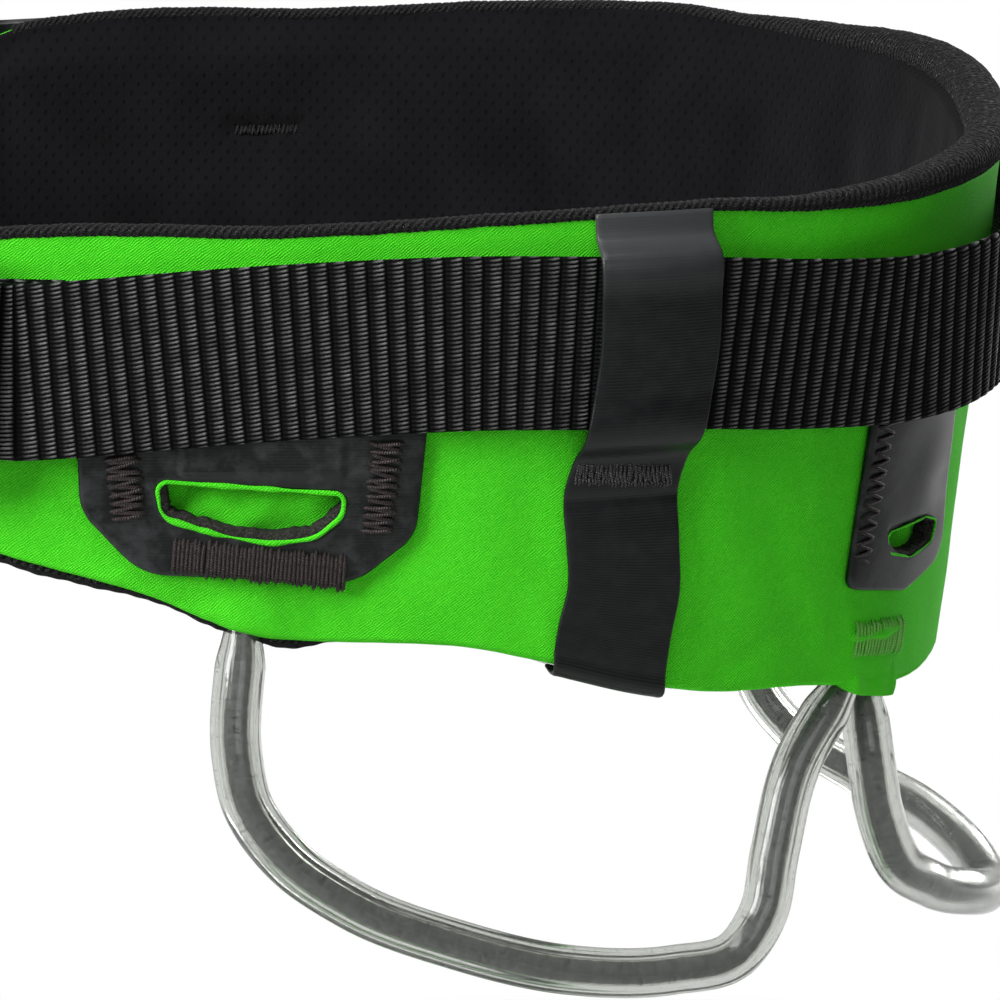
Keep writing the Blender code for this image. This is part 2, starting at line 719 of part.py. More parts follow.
BRIDGE_S = -212.0  # where the bridge meets the left leg loop
BRIDGE_HINGE = (37.6, -89.5, -186.0)  # where the bridge flexes above the left leg loop
BRIDGE_GAP = 2.2  # left open at that flex point
BRIDGE_THICKNESS = 2.6


def leg_bridge():
    """Webbing from one leg loop up through the belay loop, as the lower tie-in point, and back down."""
    low = -BELAY_DROP
    flex = Vector(BRIDGE_HINGE)
    slope = (flex - Vector((34.5, -103.0, -152.0))).normalized()
    half = [Vector(p) for p in ((0, TIE_IN_Y, low), (11.0, TIE_IN_Y, low), (17.0, -131.0, low - 1.6),
                                (22.5, -129.2, low - 6.0), (26.5, -126.4, low - 13.5), (29.5, -121.0, low - 30.0),
                                (34.5, -103.0, -152.0))]
    half.append(flex - slope * BRIDGE_GAP / 2)
    facing = [Vector((0, -1, 0))] * 4
    facing += [Vector(f) for f in ((0, -1, -0.2), (-0.1, -1, -0.25), (-0.35, -1, -0.4), (-0.5, -1, -0.4))]
    path, normals = both_sides(half, [f.normalized() for f in facing])
    pivot = Vector((0, TIE_IN_Y, low))
    ribbon("leg_bridge", path, TIE_IN_WIDTH, BRIDGE_THICKNESS, "webbing_black", normals=normals, origin=pivot)
    outward = LEG.normal(BRIDGE_S)
    end = [flex + slope * BRIDGE_GAP / 2]
    end += [LEG.point(BRIDGE_S, z, out) for z, out in ((18.0, 4.6), (0.0, 4.2), (-11.0, 4.2))]
    facing = [Vector((-0.5, -1, -0.4)), outward, outward, outward]
    left = ribbon("bridge_end_left", end, TIE_IN_WIDTH, BRIDGE_THICKNESS, "webbing_black", normals=facing,
                  origin=flex)
    mirrored(left, "bridge_end_right")


# ---------------------------------------------------------------- leg loops


LEG_ORIGIN = Vector(BRIDGE_HINGE)  # every piece of the left leg loop has its own origin there
LEG_PAD_START = -228.0
LEG_PAD_END = 172.0
LEG_TOP = Profile((0, LEG_PAD_HALF_HEIGHT), (110, LEG_PAD_HALF_HEIGHT), (200, 22.0), (228, 17.0))
LEG_BOTTOM = Profile((0, -LEG_PAD_HALF_HEIGHT), (110, -LEG_PAD_HALF_HEIGHT), (200, -22.0), (228, -17.0))


def leg_padding():
    foam_outer = -SHELL_THICKNESS - GAP
    foam_inner = foam_outer - FOAM_THICKNESS
    lining_outer = foam_inner - GAP
    span = (LEG, LEG_PAD_START, LEG_PAD_END, 14.0, LEG_BOTTOM, LEG_TOP)
    for name, inner, outer, slot in (
        ("leg_shell", -SHELL_THICKNESS, 0.0, "shell_green"),
        ("leg_foam", foam_inner, foam_outer, "foam_grey"),
        ("leg_lining", lining_outer - LINING_THICKNESS, lining_outer, "mesh_black"),
    ):
        left = pad_layer(f"{name}_left", *span, inner, outer, slot, LEG_ORIGIN)
        mirrored(left, f"{name}_right")


def leg_out(s):
    return 1.4 + 2.1 * min(max((s - 130.0) / 20.0, 0.0), 1.0)


def leg_straps(spot):
    up = LEG.up(0.0)
    main = [LEG.point(s, 0.0, leg_out(s)) for s in stations(-232.0, 164.0, 13.0)]
    main += eye_path(spot, LEG, LEG_BUCKLE_S)
    left = ribbon("leg_webbing_left", main, LEG_WEB_WIDTH, WEB_THICKNESS, "webbing_black",
                  across=[up] * len(main), origin=LEG_ORIGIN)
    mirrored(left, "leg_webbing_right")
    tail_out = Profile((206, 9.4), (222, 7.6), (246, 6.0), (266, 5.6))
    tail = [LEG.point(s, 0.0, tail_out(s)) for s in stations(262.0, 214.0, 9.0)]
    run = [spot.point(u, w) for u, w in reversed(double_back_path())]
    inner = [LEG.point(s, 0.0, 1.6) for s in stations(216.0, LEG.total - 236.0, 10.0)]
    path = tail + run + inner
    left = ribbon("leg_front_strap_left", path, LEG_WEB_WIDTH, WEB_THICKNESS, "webbing_black",
                  across=[up] * len(path), origin=LEG_ORIGIN)
    mirrored(left, "leg_front_strap_right")


def rear_riser():
    """Elastic strap sewn to the back of the leg loop, hanging free with its hook."""
    back = LEG.point(0.0, 0.0)
    centre = back + Vector((0, 9.3, -64.0))
    turn = 2.3
    controls = [LEG.point(0.0, 24.0, 1.1), LEG.point(0.0, 12.0, 3.8), back + Vector((0, 5.6, -2.0)),
                back + Vector((0, 6.6, -22.0)), centre + Vector((0, -turn, 6.0)), centre + Vector((0, -turn, 1.2)),
                centre + Vector((0, -turn * 0.7, 0.0)), centre + Vector((0, 0, -0.3)),
                centre + Vector((0, turn * 0.7, 0.0)), centre + Vector((0, turn, 1.2)),
                centre + Vector((0, turn, 15.0))]
    side = [Vector((1, 0, 0))] * len(controls)
    pivot = controls[0]
    left = ribbon("rear_riser_left", controls, 12.0, 1.3, "elastic_black", across=side, origin=pivot)
    mirrored(left, "rear_riser_right")
    outline = [(-9.0, 2.8), (9.0, 2.8), (9.0, -13.0), (4.0, -20.0), (-9.0, -20.0), (-9.0, -15.4), (2.0, -15.4),
               (4.2, -12.0), (4.2, -5.4), (-9.0, -5.4)]
    outer = rounded_outline(outline, [1.6, 1.6, 4.0, 3.0, 2.0, 2.0, 1.5, 1.5, 1.0, 1.2], 2)
    slot = rounded_outline([(-6.6, 1.0), (6.6, 1.0), (6.6, -2.2), (-6.6, -2.2)], 0.6, 1)
    return pivot, centre, outer, slot


def riser_hook(pivot, centre, outer, slot):
    mesh = flat_mesh("riser_hook_left", [outer, slot], 2.4)
    reshape(mesh, lambda p: centre + Vector((p.x, p.z, p.y)) - pivot)
    left = place("riser_hook_left", mesh, "hook_plastic", pivot)
    mirrored(left, "riser_hook_right")


def main():
    waist_spot = buckle("waist_buckle_left", WAIST, WAIST_BUCKLE_S, WAIST_PLATE_Z, WAIST_WEB_WIDTH)
    leg_spot = buckle("leg_buckle_left", LEG, LEG_BUCKLE_S, 0.0, LEG_WEB_WIDTH, LEG_ORIGIN)
    for kind in ("waist", "leg"):
        for plate in ("frame", "slider"):
            source = bpy.data.objects[f"{kind}_buckle_left_{plate}"]
            mirrored(source, f"{kind}_buckle_right_{plate}")
    waist_padding()
    waist_webbing(waist_spot)
    waist_front_strap(waist_spot)
    webbing_keeper()
    clipper_patches()
    gear_loops()
    tie_in_points()
    leg_bridge()
    leg_padding()
    leg_straps(leg_spot)
    left = strap_keeper("waist_strap_keeper_left", WAIST, WAIST_KEEPER_S, -1.8, WAIST_WEB_WIDTH)
    mirrored(left, "waist_strap_keeper_right")
    left = strap_keeper("leg_strap_keeper_left", LEG, LEG_KEEPER_S, 0.0, LEG_WEB_WIDTH)
    mirrored(left, "leg_strap_keeper_right")
    riser_hook(*rear_riser())


clear_scene()
PARTS = bpy.data.collections.new("climbing_harness")
bpy.context.scene.collection.children.link(PARTS)
main()
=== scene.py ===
"""Looks of the climbing harness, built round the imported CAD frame.

Lengths here are millimetres from the centre of the waist ring; build_mesh() moves every point to
the frame's origin and scales it to metres. +X is the wearer's left, +Y the back and +Z up. The
waist belt and the leg loops are drawn in ring coordinates: s runs along the ring from its back
centre, z across it and out away from it.
"""

import json
import math

import bpy
import numpy as np
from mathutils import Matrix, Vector


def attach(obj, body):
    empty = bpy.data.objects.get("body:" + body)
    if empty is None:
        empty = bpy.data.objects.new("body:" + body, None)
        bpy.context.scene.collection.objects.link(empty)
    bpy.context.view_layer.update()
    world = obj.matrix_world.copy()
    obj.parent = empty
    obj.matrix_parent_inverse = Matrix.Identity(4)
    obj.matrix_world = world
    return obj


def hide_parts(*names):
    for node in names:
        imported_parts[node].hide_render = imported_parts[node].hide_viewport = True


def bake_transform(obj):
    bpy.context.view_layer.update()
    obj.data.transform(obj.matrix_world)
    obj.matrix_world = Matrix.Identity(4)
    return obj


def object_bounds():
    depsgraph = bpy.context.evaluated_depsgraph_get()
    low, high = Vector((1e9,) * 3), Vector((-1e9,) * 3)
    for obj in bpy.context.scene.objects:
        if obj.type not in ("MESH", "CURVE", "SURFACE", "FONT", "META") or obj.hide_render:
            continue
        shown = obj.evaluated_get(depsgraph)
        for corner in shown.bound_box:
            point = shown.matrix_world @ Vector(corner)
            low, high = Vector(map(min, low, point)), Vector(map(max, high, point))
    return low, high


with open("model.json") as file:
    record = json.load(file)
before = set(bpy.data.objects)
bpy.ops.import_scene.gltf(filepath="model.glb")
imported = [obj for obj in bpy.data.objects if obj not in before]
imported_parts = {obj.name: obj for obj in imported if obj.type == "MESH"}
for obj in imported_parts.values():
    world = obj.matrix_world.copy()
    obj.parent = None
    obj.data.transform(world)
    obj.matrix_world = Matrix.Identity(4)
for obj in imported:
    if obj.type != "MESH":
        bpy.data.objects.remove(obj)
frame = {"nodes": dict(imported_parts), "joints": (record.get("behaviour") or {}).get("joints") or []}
CAD_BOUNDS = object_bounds()

MM = 0.001
JOINTS = {joint["name"]: joint for joint in frame["joints"]}
TIE_IN_Y, BELAY_DROP = -132.0, 75.0
# The belay loop hangs from the middle of the upper tie-in point, which fixes the frame's origin.
ORIGIN = np.array((0.0, TIE_IN_Y, 0.0)) - np.array(JOINTS["belay_loop_swing"]["pos_m"]) / MM
PAD_THICKNESS = 7.6
PAD_END = 277.0
WEB_THICKNESS = 1.8
WAIST_WEB_WIDTH = 30.0
LEG_WEB_WIDTH = 20.0
TUBE_RADIUS = 4.35
TUBE_BORE = 2.4
CORE_RADIUS = 2.0


# ---------------------------------------------------------------- ring coordinates


class Profile:
    """A smooth height along a ring through a few (|s|, height) points."""

    def __init__(self, *points):
        self.x = np.array([p[0] for p in points], float)
        self.y = np.array([p[1] for p in points], float)
        self.slope = np.empty(len(points))
        self.slope[0] = 0.0
        self.slope[1:-1] = (self.y[2:] - self.y[:-2]) / (self.x[2:] - self.x[:-2])
        self.slope[-1] = (self.y[-1] - self.y[-2]) / (self.x[-1] - self.x[-2])

    def __call__(self, s):
        s = np.clip(np.abs(s), self.x[0], self.x[-1])
        i = np.clip(np.searchsorted(self.x, s, side="right") - 1, 0, len(self.x) - 2)
        span = self.x[i + 1] - self.x[i]
        t = (s - self.x[i]) / span
        rise = self.slope[i] * span * t * (1 - t) ** 2 + self.slope[i + 1] * span * t * t * (t - 1)
        return self.y[i] * (1 + 2 * t) * (1 - t) ** 2 + self.y[i + 1] * t * t * (3 - 2 * t) + rise


class Ring:
    """A superellipse course round the body or a thigh, for arrays of ring coordinates."""

    STEPS = 2880

    def __init__(self, half_width, back, front, squareness, lean=(0.0, 0.0), centre=(0, 0, 0), slope=0.0):
        self.half_width, self.back, self.front = half_width, back, front
        self.power = 2.0 / squareness
        self.lean = lean
        self.centre = np.array(centre, float)
        turn = -math.atan(slope)
        c, v = math.cos(turn), math.sin(turn)
        self.tilt = np.array(((1, 0, 0), (0, c, -v), (0, v, c)))
        self.angles = math.pi / 2 - 2 * math.pi * np.arange(self.STEPS + 1) / self.STEPS
        plan = self.plan(self.angles)
        self.lengths = np.concatenate(([0.0], np.cumsum(np.linalg.norm(np.diff(plan, axis=0), axis=1))))
        self.total = self.lengths[-1]

    def plan(self, angle):
        c, v = np.cos(angle), np.sin(angle)
        depth = np.where(v > 0, self.back, self.front)
        x = np.sign(c) * np.abs(c) ** self.power * self.half_width
        return np.stack((x, np.sign(v) * np.abs(v) ** self.power * depth, np.zeros_like(x)), -1)

    def angle(self, s):
        return np.interp(np.mod(s, self.total), self.lengths, self.angles)

    def flat_normal(self, s):
        angle = self.angle(s)
        c, v = np.cos(angle), np.sin(angle)
        depth = np.where(v > 0, self.back, self.front)
        power = 2 - self.power
        x = np.sign(c) * np.abs(c) ** power / self.half_width
        normal = np.stack((x, np.sign(v) * np.abs(v) ** power / depth, np.zeros_like(x)), -1)
        return normal / np.linalg.norm(normal, axis=-1, keepdims=True)

    def point(self, s, z, out=0.0):
        s, z, out = np.broadcast_arrays(np.asarray(s, float), np.asarray(z, float), np.asarray(out, float))
        base = self.plan(self.angle(s))
        shift = out + (self.lean[0] + self.lean[1] * base[..., 1]) * z
        local = base + self.flat_normal(s) * shift[..., None]
        local[..., 2] += z
        return self.centre + local @ self.tilt.T

    def normal(self, s):
        return self.flat_normal(np.asarray(s, float)) @ self.tilt.T

    def up(self, s):
        return unit(self.point(s, 1.0) - self.point(s, -1.0))

    def tangent(self, s):
        return unit(self.point(np.asarray(s, float) + 0.5, 0.0) - self.point(np.asarray(s, float) - 0.5, 0.0))


def step01(x, low, high):
    t = np.clip((x - low) / (high - low), 0, 1)
    return t * t * (3 - 2 * t)


def unit(v):
    return v / np.maximum(np.linalg.norm(v, axis=-1, keepdims=True), 1e-12)


WAIST = Ring(118.0, 140.0, 114.2, 2.789, (-0.0278, 0.001))
LEG = Ring(76.0, 82.0, 82.0, 2.2, centre=(87.0, -10.0, -250.0), slope=0.35)
WAIST_TOP = Profile((0, 19.3), (60, 19.8), (90, 20.0), (112, 21.4), (128, 22.9), (160, 22.3), (203, 20.3),
                    (232, 20.6), (248, 19.8), (262, 18.4), (271, 15.5), (PAD_END, 12.0))
WAIST_BOTTOM = Profile((0, -74.5), (45, -74.0), (71, -72.4), (103, -66.8), (125, -64.6), (141, -61.1),
                       (157, -56.3), (173, -52.6), (203, -50.6), (211, -48.8), (226, -42.4), (249, -35.9),
                       (264, -31.0), (PAD_END, -25.0))
BINDING_END = 266.0
BINDING_RISE = Profile((0, 5.0), (60, 4.6), (92, 2.8), (120, 0.8), (180, 0.6), (BINDING_END, 0.6))
TOP_EDGE_THICKNESS = Profile((0, 7.6), (60, 7.2), (92, 5.6), (120, 3.4), (180, 2.8), (PAD_END, 2.8))
WEB_CENTRE = Profile((0, -3.6), (60, -2.6), (77, -4.0), (90, -4.5), (111, -2.7), (128, -0.8), (151, 0.7),
                     (173, 1.3), (203, 0.1), (249, -3.3), (275, -3.6))
WEB_STAND_OFF = Profile((0, 3.0), (40, 4.5), (72, 6.0), (95, 1.5), (112, 0.0), (222, 0.0), (238, 0.8), (275, 0.8))
LEG_TOP = Profile((0, 30.0), (110, 30.0), (200, 22.0), (228, 17.0))
LEG_BOTTOM = Profile((0, -30.0), (110, -30.0), (200, -22.0), (228, -17.0))


# ---------------------------------------------------------------- meshes


def to_frame(points):
    """Millimetres from the ring's centre, as metres in the frame."""
    return (np.asarray(points, float) - ORIGIN) * MM


def build_mesh(name, points, faces, weave=None, smooth=True):
    """A piece from points in millimetres; weave holds each point's place on the fabric, for materials."""
    mesh = bpy.data.meshes.new(name)
    mesh.from_pydata(to_frame(points).tolist(), [], faces)
    if weave is not None:
        layer = mesh.attributes.new("weave", "FLOAT_VECTOR", "POINT")
        layer.data.foreach_set("vector", np.asarray(weave, np.float32).ravel())
    if smooth:
        mesh.shade_smooth()
    made = bpy.data.objects.new(name, mesh)
    bpy.context.scene.collection.objects.link(made)
    return made


def grid_faces(rows, columns, close_rows=False, close_columns=False):
    i = np.arange(rows if close_rows else rows - 1)[:, None]
    j = np.arange(columns if close_columns else columns - 1)[None, :]
    i_next, j_next = (i + 1) % rows, (j + 1) % columns
    corners = (i * columns + j, i * columns + j_next, i_next * columns + j_next, i_next * columns + j)
    return np.stack([np.broadcast_to(c, (i.shape[0], j.shape[1])) for c in corners], -1).reshape(-1, 4)


def volume(points, faces):
    points = np.asarray(points)
    faces = [f for f in faces if len(f) == 4]
    quad = points[np.array(faces)]
    first = np.einsum("ij,ij->i", quad[:, 0], np.cross(quad[:, 1], quad[:, 2])).sum()
    return first + np.einsum("ij,ij->i", quad[:, 0], np.cross(quad[:, 2], quad[:, 3])).sum()


def tube_piece(name, sections, weave, close_rows=False):
    """A closed body through rings of points, rows along it and columns round it."""
    rows, columns = sections.shape[:2]
    points = sections.reshape(-1, 3)
    faces = grid_faces(rows, columns, close_rows, True).tolist()
    turned = volume(points, faces) < 0
    if not close_rows:
        faces.append(list(range(columns))[::-1])
        faces.append(list(range((rows - 1) * columns, rows * columns)))
    if turned:
        faces = [f[::-1] for f in faces]
    return build_mesh(name, points, faces, weave.reshape(-1, 3))


def surface_normals(points):
    along, across = np.gradient(points, axis=0), np.gradient(points, axis=1)
    return unit(np.cross(along, across))


def slab_piece(name, surface, weave, thickness, outwards):
    """A sheet with a thickness, whose outer side is the surface; outwards says which way its normals turn."""
    inner = surface - surface_normals(surface) * thickness * outwards
    sections = np.concatenate((surface, inner[:, ::-1]), axis=1)
    places = np.concatenate((weave, weave[:, ::-1]), axis=1)
    return tube_piece(name, sections, places)


def resample(points, step, closed=False, extra=None):
    """Points every `step` along a smooth curve through the given ones, with `extra` carried along."""
    points = np.asarray(points, float)
    if closed:
        points = np.concatenate((points, points[:1]))
        extra = None if extra is None else np.concatenate((extra, extra[:1]))
    chord = np.concatenate(([0.0], np.cumsum(np.linalg.norm(np.diff(points, axis=0), axis=1))))
    slope = np.gradient(points, chord, axis=0)
    if closed:
        around = (points[1] - points[-2]) / (chord[1] + chord[-1] - chord[-2])
        slope[0] = slope[-1] = around
    count = max(2, round(chord[-1] / step))
    at = np.linspace(0, chord[-1], count + 1)
    at = at[:-1] if closed else at
    i = np.clip(np.searchsorted(chord, at, side="right") - 1, 0, len(points) - 2)
    span = (chord[i + 1] - chord[i])[:, None]
    t = (at - chord[i])[:, None] / span
    curve = points[i] * (1 + 2 * t) * (1 - t) ** 2 + points[i + 1] * t * t * (3 - 2 * t)
    curve = curve + slope[i] * span * t * (1 - t) ** 2 + slope[i + 1] * span * t * t * (t - 1)
    if extra is None:
        return curve, at
    extra = np.asarray(extra, float)
    return curve, at, extra[i] * (1 - t) + extra[i + 1] * t


def strap_section(width, thickness, columns):
    """Points round a flat strap's section as (across, up), with rounded edges."""
    half, radius = width / 2, thickness / 2
    flat = np.linspace(-half + radius, half - radius, columns)
    turn = np.radians((36.0, 72.0))
    right = np.stack((half - radius + radius * np.sin(turn), radius * np.cos(turn)), -1)
    right = np.concatenate((right, [(half, 0.0)], right[::-1] * (1, -1)))
    top = np.stack((flat, np.full(columns, radius)), -1)
    bottom = top[::-1] * (1, -1)
    left = right[::-1] * (-1, 1)
    left = left[np.argsort(left[:, 1])]
    return np.concatenate((top, right, bottom, left))


def directions_along(path, closed):
    if closed:
        return unit(np.roll(path, -1, axis=0) - np.roll(path, 1, axis=0))
    return unit(np.gradient(path, axis=0))


def strap(name, path, across, width, thickness, step=1.0, columns=9, closed=False, rib=None, start=0.0):
    """Webbing along a path. rib is (pitch, depth, slant): ridges across the strap on both faces."""
    path, at, across = resample(path, step, closed, across)
    along = directions_along(path, closed)
    side = unit(across - along * np.sum(across * along, -1, keepdims=True))
    face = np.cross(along, side)
    section = strap_section(width, thickness, columns)
    w, h = section[None, :, 0], np.broadcast_to(section[None, :, 1], (len(path), len(section)))
    if rib:
        pitch, depth, slant = rib
        ridge = np.abs(np.cos(math.pi * (at[:, None] + start + slant * w) / pitch)) ** 0.7
        h = h * (1 - depth / (thickness / 2) * (1 - ridge))
    sections = path[:, None] + side[:, None] * w[..., None] + face[:, None] * h[..., None]
    weave = np.stack(np.broadcast_arrays(at[:, None] + start, w, h), -1)
    return tube_piece(name, sections, weave, closed)


def turning_frames(path):
    """Two vectors across each point of a path that turn as little as possible."""
    along = unit(np.gradient(path, axis=0))
    side = unit(np.cross(along[0], (0.31, 0.42, 0.85)))
    sides = []
    for direction in along:
        side = unit(side - direction * np.dot(side, direction))
        sides.append(side)
    sides = np.array(sides)
    return sides, np.cross(along, sides)


def round_sections(path, radius, columns, radius_of=None):
    sides, others = turning_frames(path)
    turns = np.linspace(0, 2 * math.pi, columns, endpoint=False)
    reach = np.full((len(path), columns), radius) if radius_of is None else radius_of(turns)
    ring = sides[:, None] * np.cos(turns)[None, :, None] + others[:, None] * np.sin(turns)[None, :, None]
    return path[:, None] + ring * reach[..., None], turns


def joined(name, bodies):
    """One piece from several (points, faces, weave) bodies."""
    points, faces, weave, first = [], [], [], 0
    for body_points, body_faces, body_weave in bodies:
        points.append(body_points)
        faces.extend([[i + first for i in f] for f in body_faces])
        weave.append(body_weave)
        first += len(body_points)
    return build_mesh(name, np.concatenate(points), faces, np.concatenate(weave))


THREAD_SIDES = 7


def threads(name, paths, radius):
    """Sewing thread along each path, every stitch a round body with tapered ends."""
    bodies = []
    for path in paths:
        path = np.asarray(path, float)
        length = np.concatenate(([0.0], np.cumsum(np.linalg.norm(np.diff(path, axis=0), axis=1))))
        taper = np.clip(np.minimum(length, length[-1] - length) / radius, 0.25, 1.0)
        sections, turns = round_sections(path, radius, THREAD_SIDES,
                                         lambda t: radius * np.repeat(taper[:, None], len(t), 1))
        points = sections.reshape(-1, 3)
        faces = grid_faces(len(path), THREAD_SIDES, False, True).tolist()
        faces.append(list(range(THREAD_SIDES))[::-1])
        faces.append(list(range(len(points) - THREAD_SIDES, len(points))))
        if volume(points, faces) < 0:
            faces = [f[::-1] for f in faces]
        weave = np.stack(np.broadcast_arrays(length[:, None], turns[None, :], 0.0), -1).reshape(-1, 3)
        bodies.append((points, faces, weave))
    return joined(name, bodies)


def mirrored(source, name):
    """The same piece for the wearer's right side."""
    mesh = source.data.copy()
    mesh.name = name
    points = np.empty(len(mesh.vertices) * 3, np.float32)
    mesh.vertices.foreach_get("co", points)
    points = points.reshape(-1, 3)
    points[:, 0] *= -1
    mesh.vertices.foreach_set("co", points.ravel())
    mesh.flip_normals()
    made = bpy.data.objects.new(name, mesh)
    bpy.context.scene.collection.objects.link(made)
    return made


def finish_piece(piece, material, body, slot, *replaced):
    piece.data.materials.clear()
    piece.data.materials.append(material)
    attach(piece, body)
    if replaced:
        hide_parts(*replaced)
    return piece


def both_sides(left, material, bodies, slot, *replaced):
    """Finishes a left-hand piece and its mirror copy; names hold "left" and turn to "right"."""
    right = mirrored(left, left.name.replace("left", "right"))
    finish_piece(left, material, bodies, slot, *replaced)
    nodes = [n.replace("left", "right") for n in replaced]
    finish_piece(right, material, bodies.replace("left", "right"), slot, *nodes)


# ---------------------------------------------------------------- materials


class Net:
    """Shorthand for wiring shader nodes."""

    def __init__(self, name):
        self.material = bpy.data.materials.new(name)
        self.material.use_nodes = True
        self.tree = self.material.node_tree
        self.shader = self.tree.nodes["Principled BSDF"]

    def put(self, socket, value):
        if isinstance(value, bpy.types.NodeSocket):
            self.tree.links.new(value, socket)
        elif isinstance(value, tuple) and len(value) == 3 and socket.type == "RGBA":
            socket.default_value = (*value, 1.0)
        else:
            socket.default_value = value

    def node(self, kind, **inputs):
        made = self.tree.nodes.new(kind)
        for key, value in inputs.items():
            self.put(made.inputs[key.replace("_", " ")], value)
        return made

    def math(self, operation, a, b=0.0, c=0.0):
        made = self.tree.nodes.new("ShaderNodeMath")
        made.operation = operation
        for socket, value in zip(made.inputs, (a, b, c)):
            self.put(socket, value)
        return made.outputs[0]

    def wave(self, value, period, phase=0.0):
        """A sine between 0 and 1."""
        turned = self.math("MULTIPLY_ADD", value, 2 * math.pi / period, phase)
        return self.math("MULTIPLY_ADD", self.math("SINE", turned), 0.5, 0.5)

    def weave(self):
        place = self.tree.nodes.new("ShaderNodeAttribute")
        place.attribute_name = "weave"
        parts = self.node("ShaderNodeSeparateXYZ", Vector=place.outputs["Vector"])
        return parts.outputs[0], parts.outputs[1], place.outputs["Vector"]

    def object_place(self):
        return self.tree.nodes.new("ShaderNodeTexCoord").outputs["Object"]

    def noise(self, vector, scale, detail=3.0, roughness=0.5):
        made = self.node("ShaderNodeTexNoise", Vector=vector, Scale=scale, Detail=detail, Roughness=roughness)
        return made.outputs["Fac"]

    def mix(self, share, a, b):
        made = self.tree.nodes.new("ShaderNodeMix")
        made.data_type = "RGBA"
        self.put(made.inputs["Factor"], share)
        self.put(made.inputs["A"], a)
        self.put(made.inputs["B"], b)
        return made.outputs["Result"]

    def ramp(self, value, low, high, to_low=0.0, to_high=1.0):
        made = self.tree.nodes.new("ShaderNodeMapRange")
        keys = ("Value", "From Min", "From Max", "To Min", "To Max")
        for key, number in zip(keys, (value, low, high, to_low, to_high)):
            self.put(made.inputs[key], number)
        return made.outputs["Result"]

    def bump(self, height, distance, strength=1.0):
        made = self.node("ShaderNodeBump", Height=height, Distance=distance * MM, Strength=strength)
        self.put(self.shader.inputs["Normal"], made.outputs["Normal"])

    def set(self, **inputs):
        for key, value in inputs.items():
            self.put(self.shader.inputs[key.replace("_", " ")], value)
        return self.material


def green_fabric():
    """Fine twill softshell: dotted diagonal floats over the plain green ground, their raised crests painted lighter as
    a highlight.
    """
    net = Net("green_softshell")
    s, z, place = net.weave()
    drift = net.noise(place, 0.5, 2.0)
    diagonal = net.math("ADD", net.math("MULTIPLY_ADD", s, 0.75, z), drift)
    twill = net.wave(diagonal, 0.5)
    cross = net.wave(net.math("MULTIPLY_ADD", z, -0.8, s), 0.55)
    weave = net.math("MULTIPLY", twill, net.math("MULTIPLY_ADD", cross, 0.65, 0.35))
    grain = net.noise(place, 3.0, 4.0, 0.65)
    patches = net.noise(place, 0.06, 5.0)
    height = net.math("MULTIPLY_ADD", grain, 1.3, weave)
    base = net.mix(net.ramp(patches, 0.35, 0.65), (0.007, 0.55, 0.0012), (0.019, 0.65, 0.004))
    # Painted highlight: the weave's raised crests are mixed towards a pale green.
    lit = net.mix(net.ramp(height, 0.55, 1.6), base, (0.17, 0.92, 0.045))
    net.bump(height, 0.17, 0.9)
    return net.set(Base_Color=lit, Roughness=net.ramp(grain, 0.3, 0.7, 0.62, 0.82), Sheen_Weight=0.04,
                   Sheen_Roughness=0.4, Sheen_Tint=(0.5, 1.0, 0.25), Specular_IOR_Level=0.07)


def webbing(name, pitch, strand=0.74):
    """Ladder webbing: every rib is a stack of short strands, with a painted highlight on one flank and painted shade
    between ribs.
    """
    net = Net(name)
    s, w, place = net.weave()
    fuzz = net.noise(place, 3.0, 3.0)
    across = net.math("FRACT", net.math("MULTIPLY_ADD", s, 1 / pitch, 0.5))
    shift = net.math("MULTIPLY", net.math("FLOOR", net.math("MULTIPLY_ADD", s, 1 / pitch, 0.5)), 0.31)
    tilted = net.math("ADD", net.math("MULTIPLY_ADD", across, 0.35, w), shift)
    strands = net.wave(net.math("MULTIPLY_ADD", fuzz, 0.25, tilted), strand)
    rounded = net.ramp(strands, 0.25, 0.85)
    highlight_flank = net.math("MULTIPLY", net.ramp(across, 0.06, 0.2), net.ramp(across, 0.75, 0.3))
    body = net.math("MULTIPLY", net.ramp(across, 0.04, 0.16), net.ramp(across, 0.98, 0.84))
    uneven_highlight = net.ramp(net.noise(place, 0.35, 4.0), 0.3, 0.7, 0.35, 1.0)
    strand_highlight = net.math("MULTIPLY", net.math("MULTIPLY", rounded, highlight_flank), uneven_highlight)
    # Painted shade: dark between ribs and on each strand's sides, lighter on its crests.
    colour = net.mix(net.math("MULTIPLY", body, net.math("MULTIPLY_ADD", rounded, 0.6, 0.2)),
                     (0.0012, 0.0012, 0.0014), (0.0085, 0.0088, 0.0095))
    # Painted highlight on one flank of each rib, in uneven patches.
    colour = net.mix(strand_highlight, colour, (0.21, 0.21, 0.207))
    net.bump(net.math("MULTIPLY_ADD", fuzz, 0.3, net.math("MULTIPLY", strands, body)), 0.3)
    return net.set(Base_Color=colour, Roughness=net.ramp(fuzz, 0.3, 0.7, 0.38, 0.6),
                   Specular_IOR_Level=net.ramp(strand_highlight, 0.0, 1.0, 0.04, 0.45))


def plain_webbing(name, tint=(0.02, 0.02, 0.0215)):
    """Close woven tape: fine ribs across and along."""
    net = Net(name)
    s, w, place = net.weave()
    ribs = net.wave(s, 0.9)
    cords = net.wave(w, 1.3)
    fuzz = net.noise(place, 2.5, 3.0)
    height = net.math("ADD", net.math("MULTIPLY", ribs, cords), net.math("MULTIPLY", fuzz, 0.4))
    dark = tuple(0.25 * c for c in tint)
    # Painted shade: the weave's hollows darker, down to a quarter of the tint.
    colour = net.mix(net.ramp(height, 0.2, 1.1), dark, tint)
    net.bump(height, 0.2)
    return net.set(Base_Color=colour, Roughness=net.ramp(fuzz, 0.3, 0.7, 0.5, 0.75), Sheen_Weight=0.03,
                   Specular_IOR_Level=0.2)


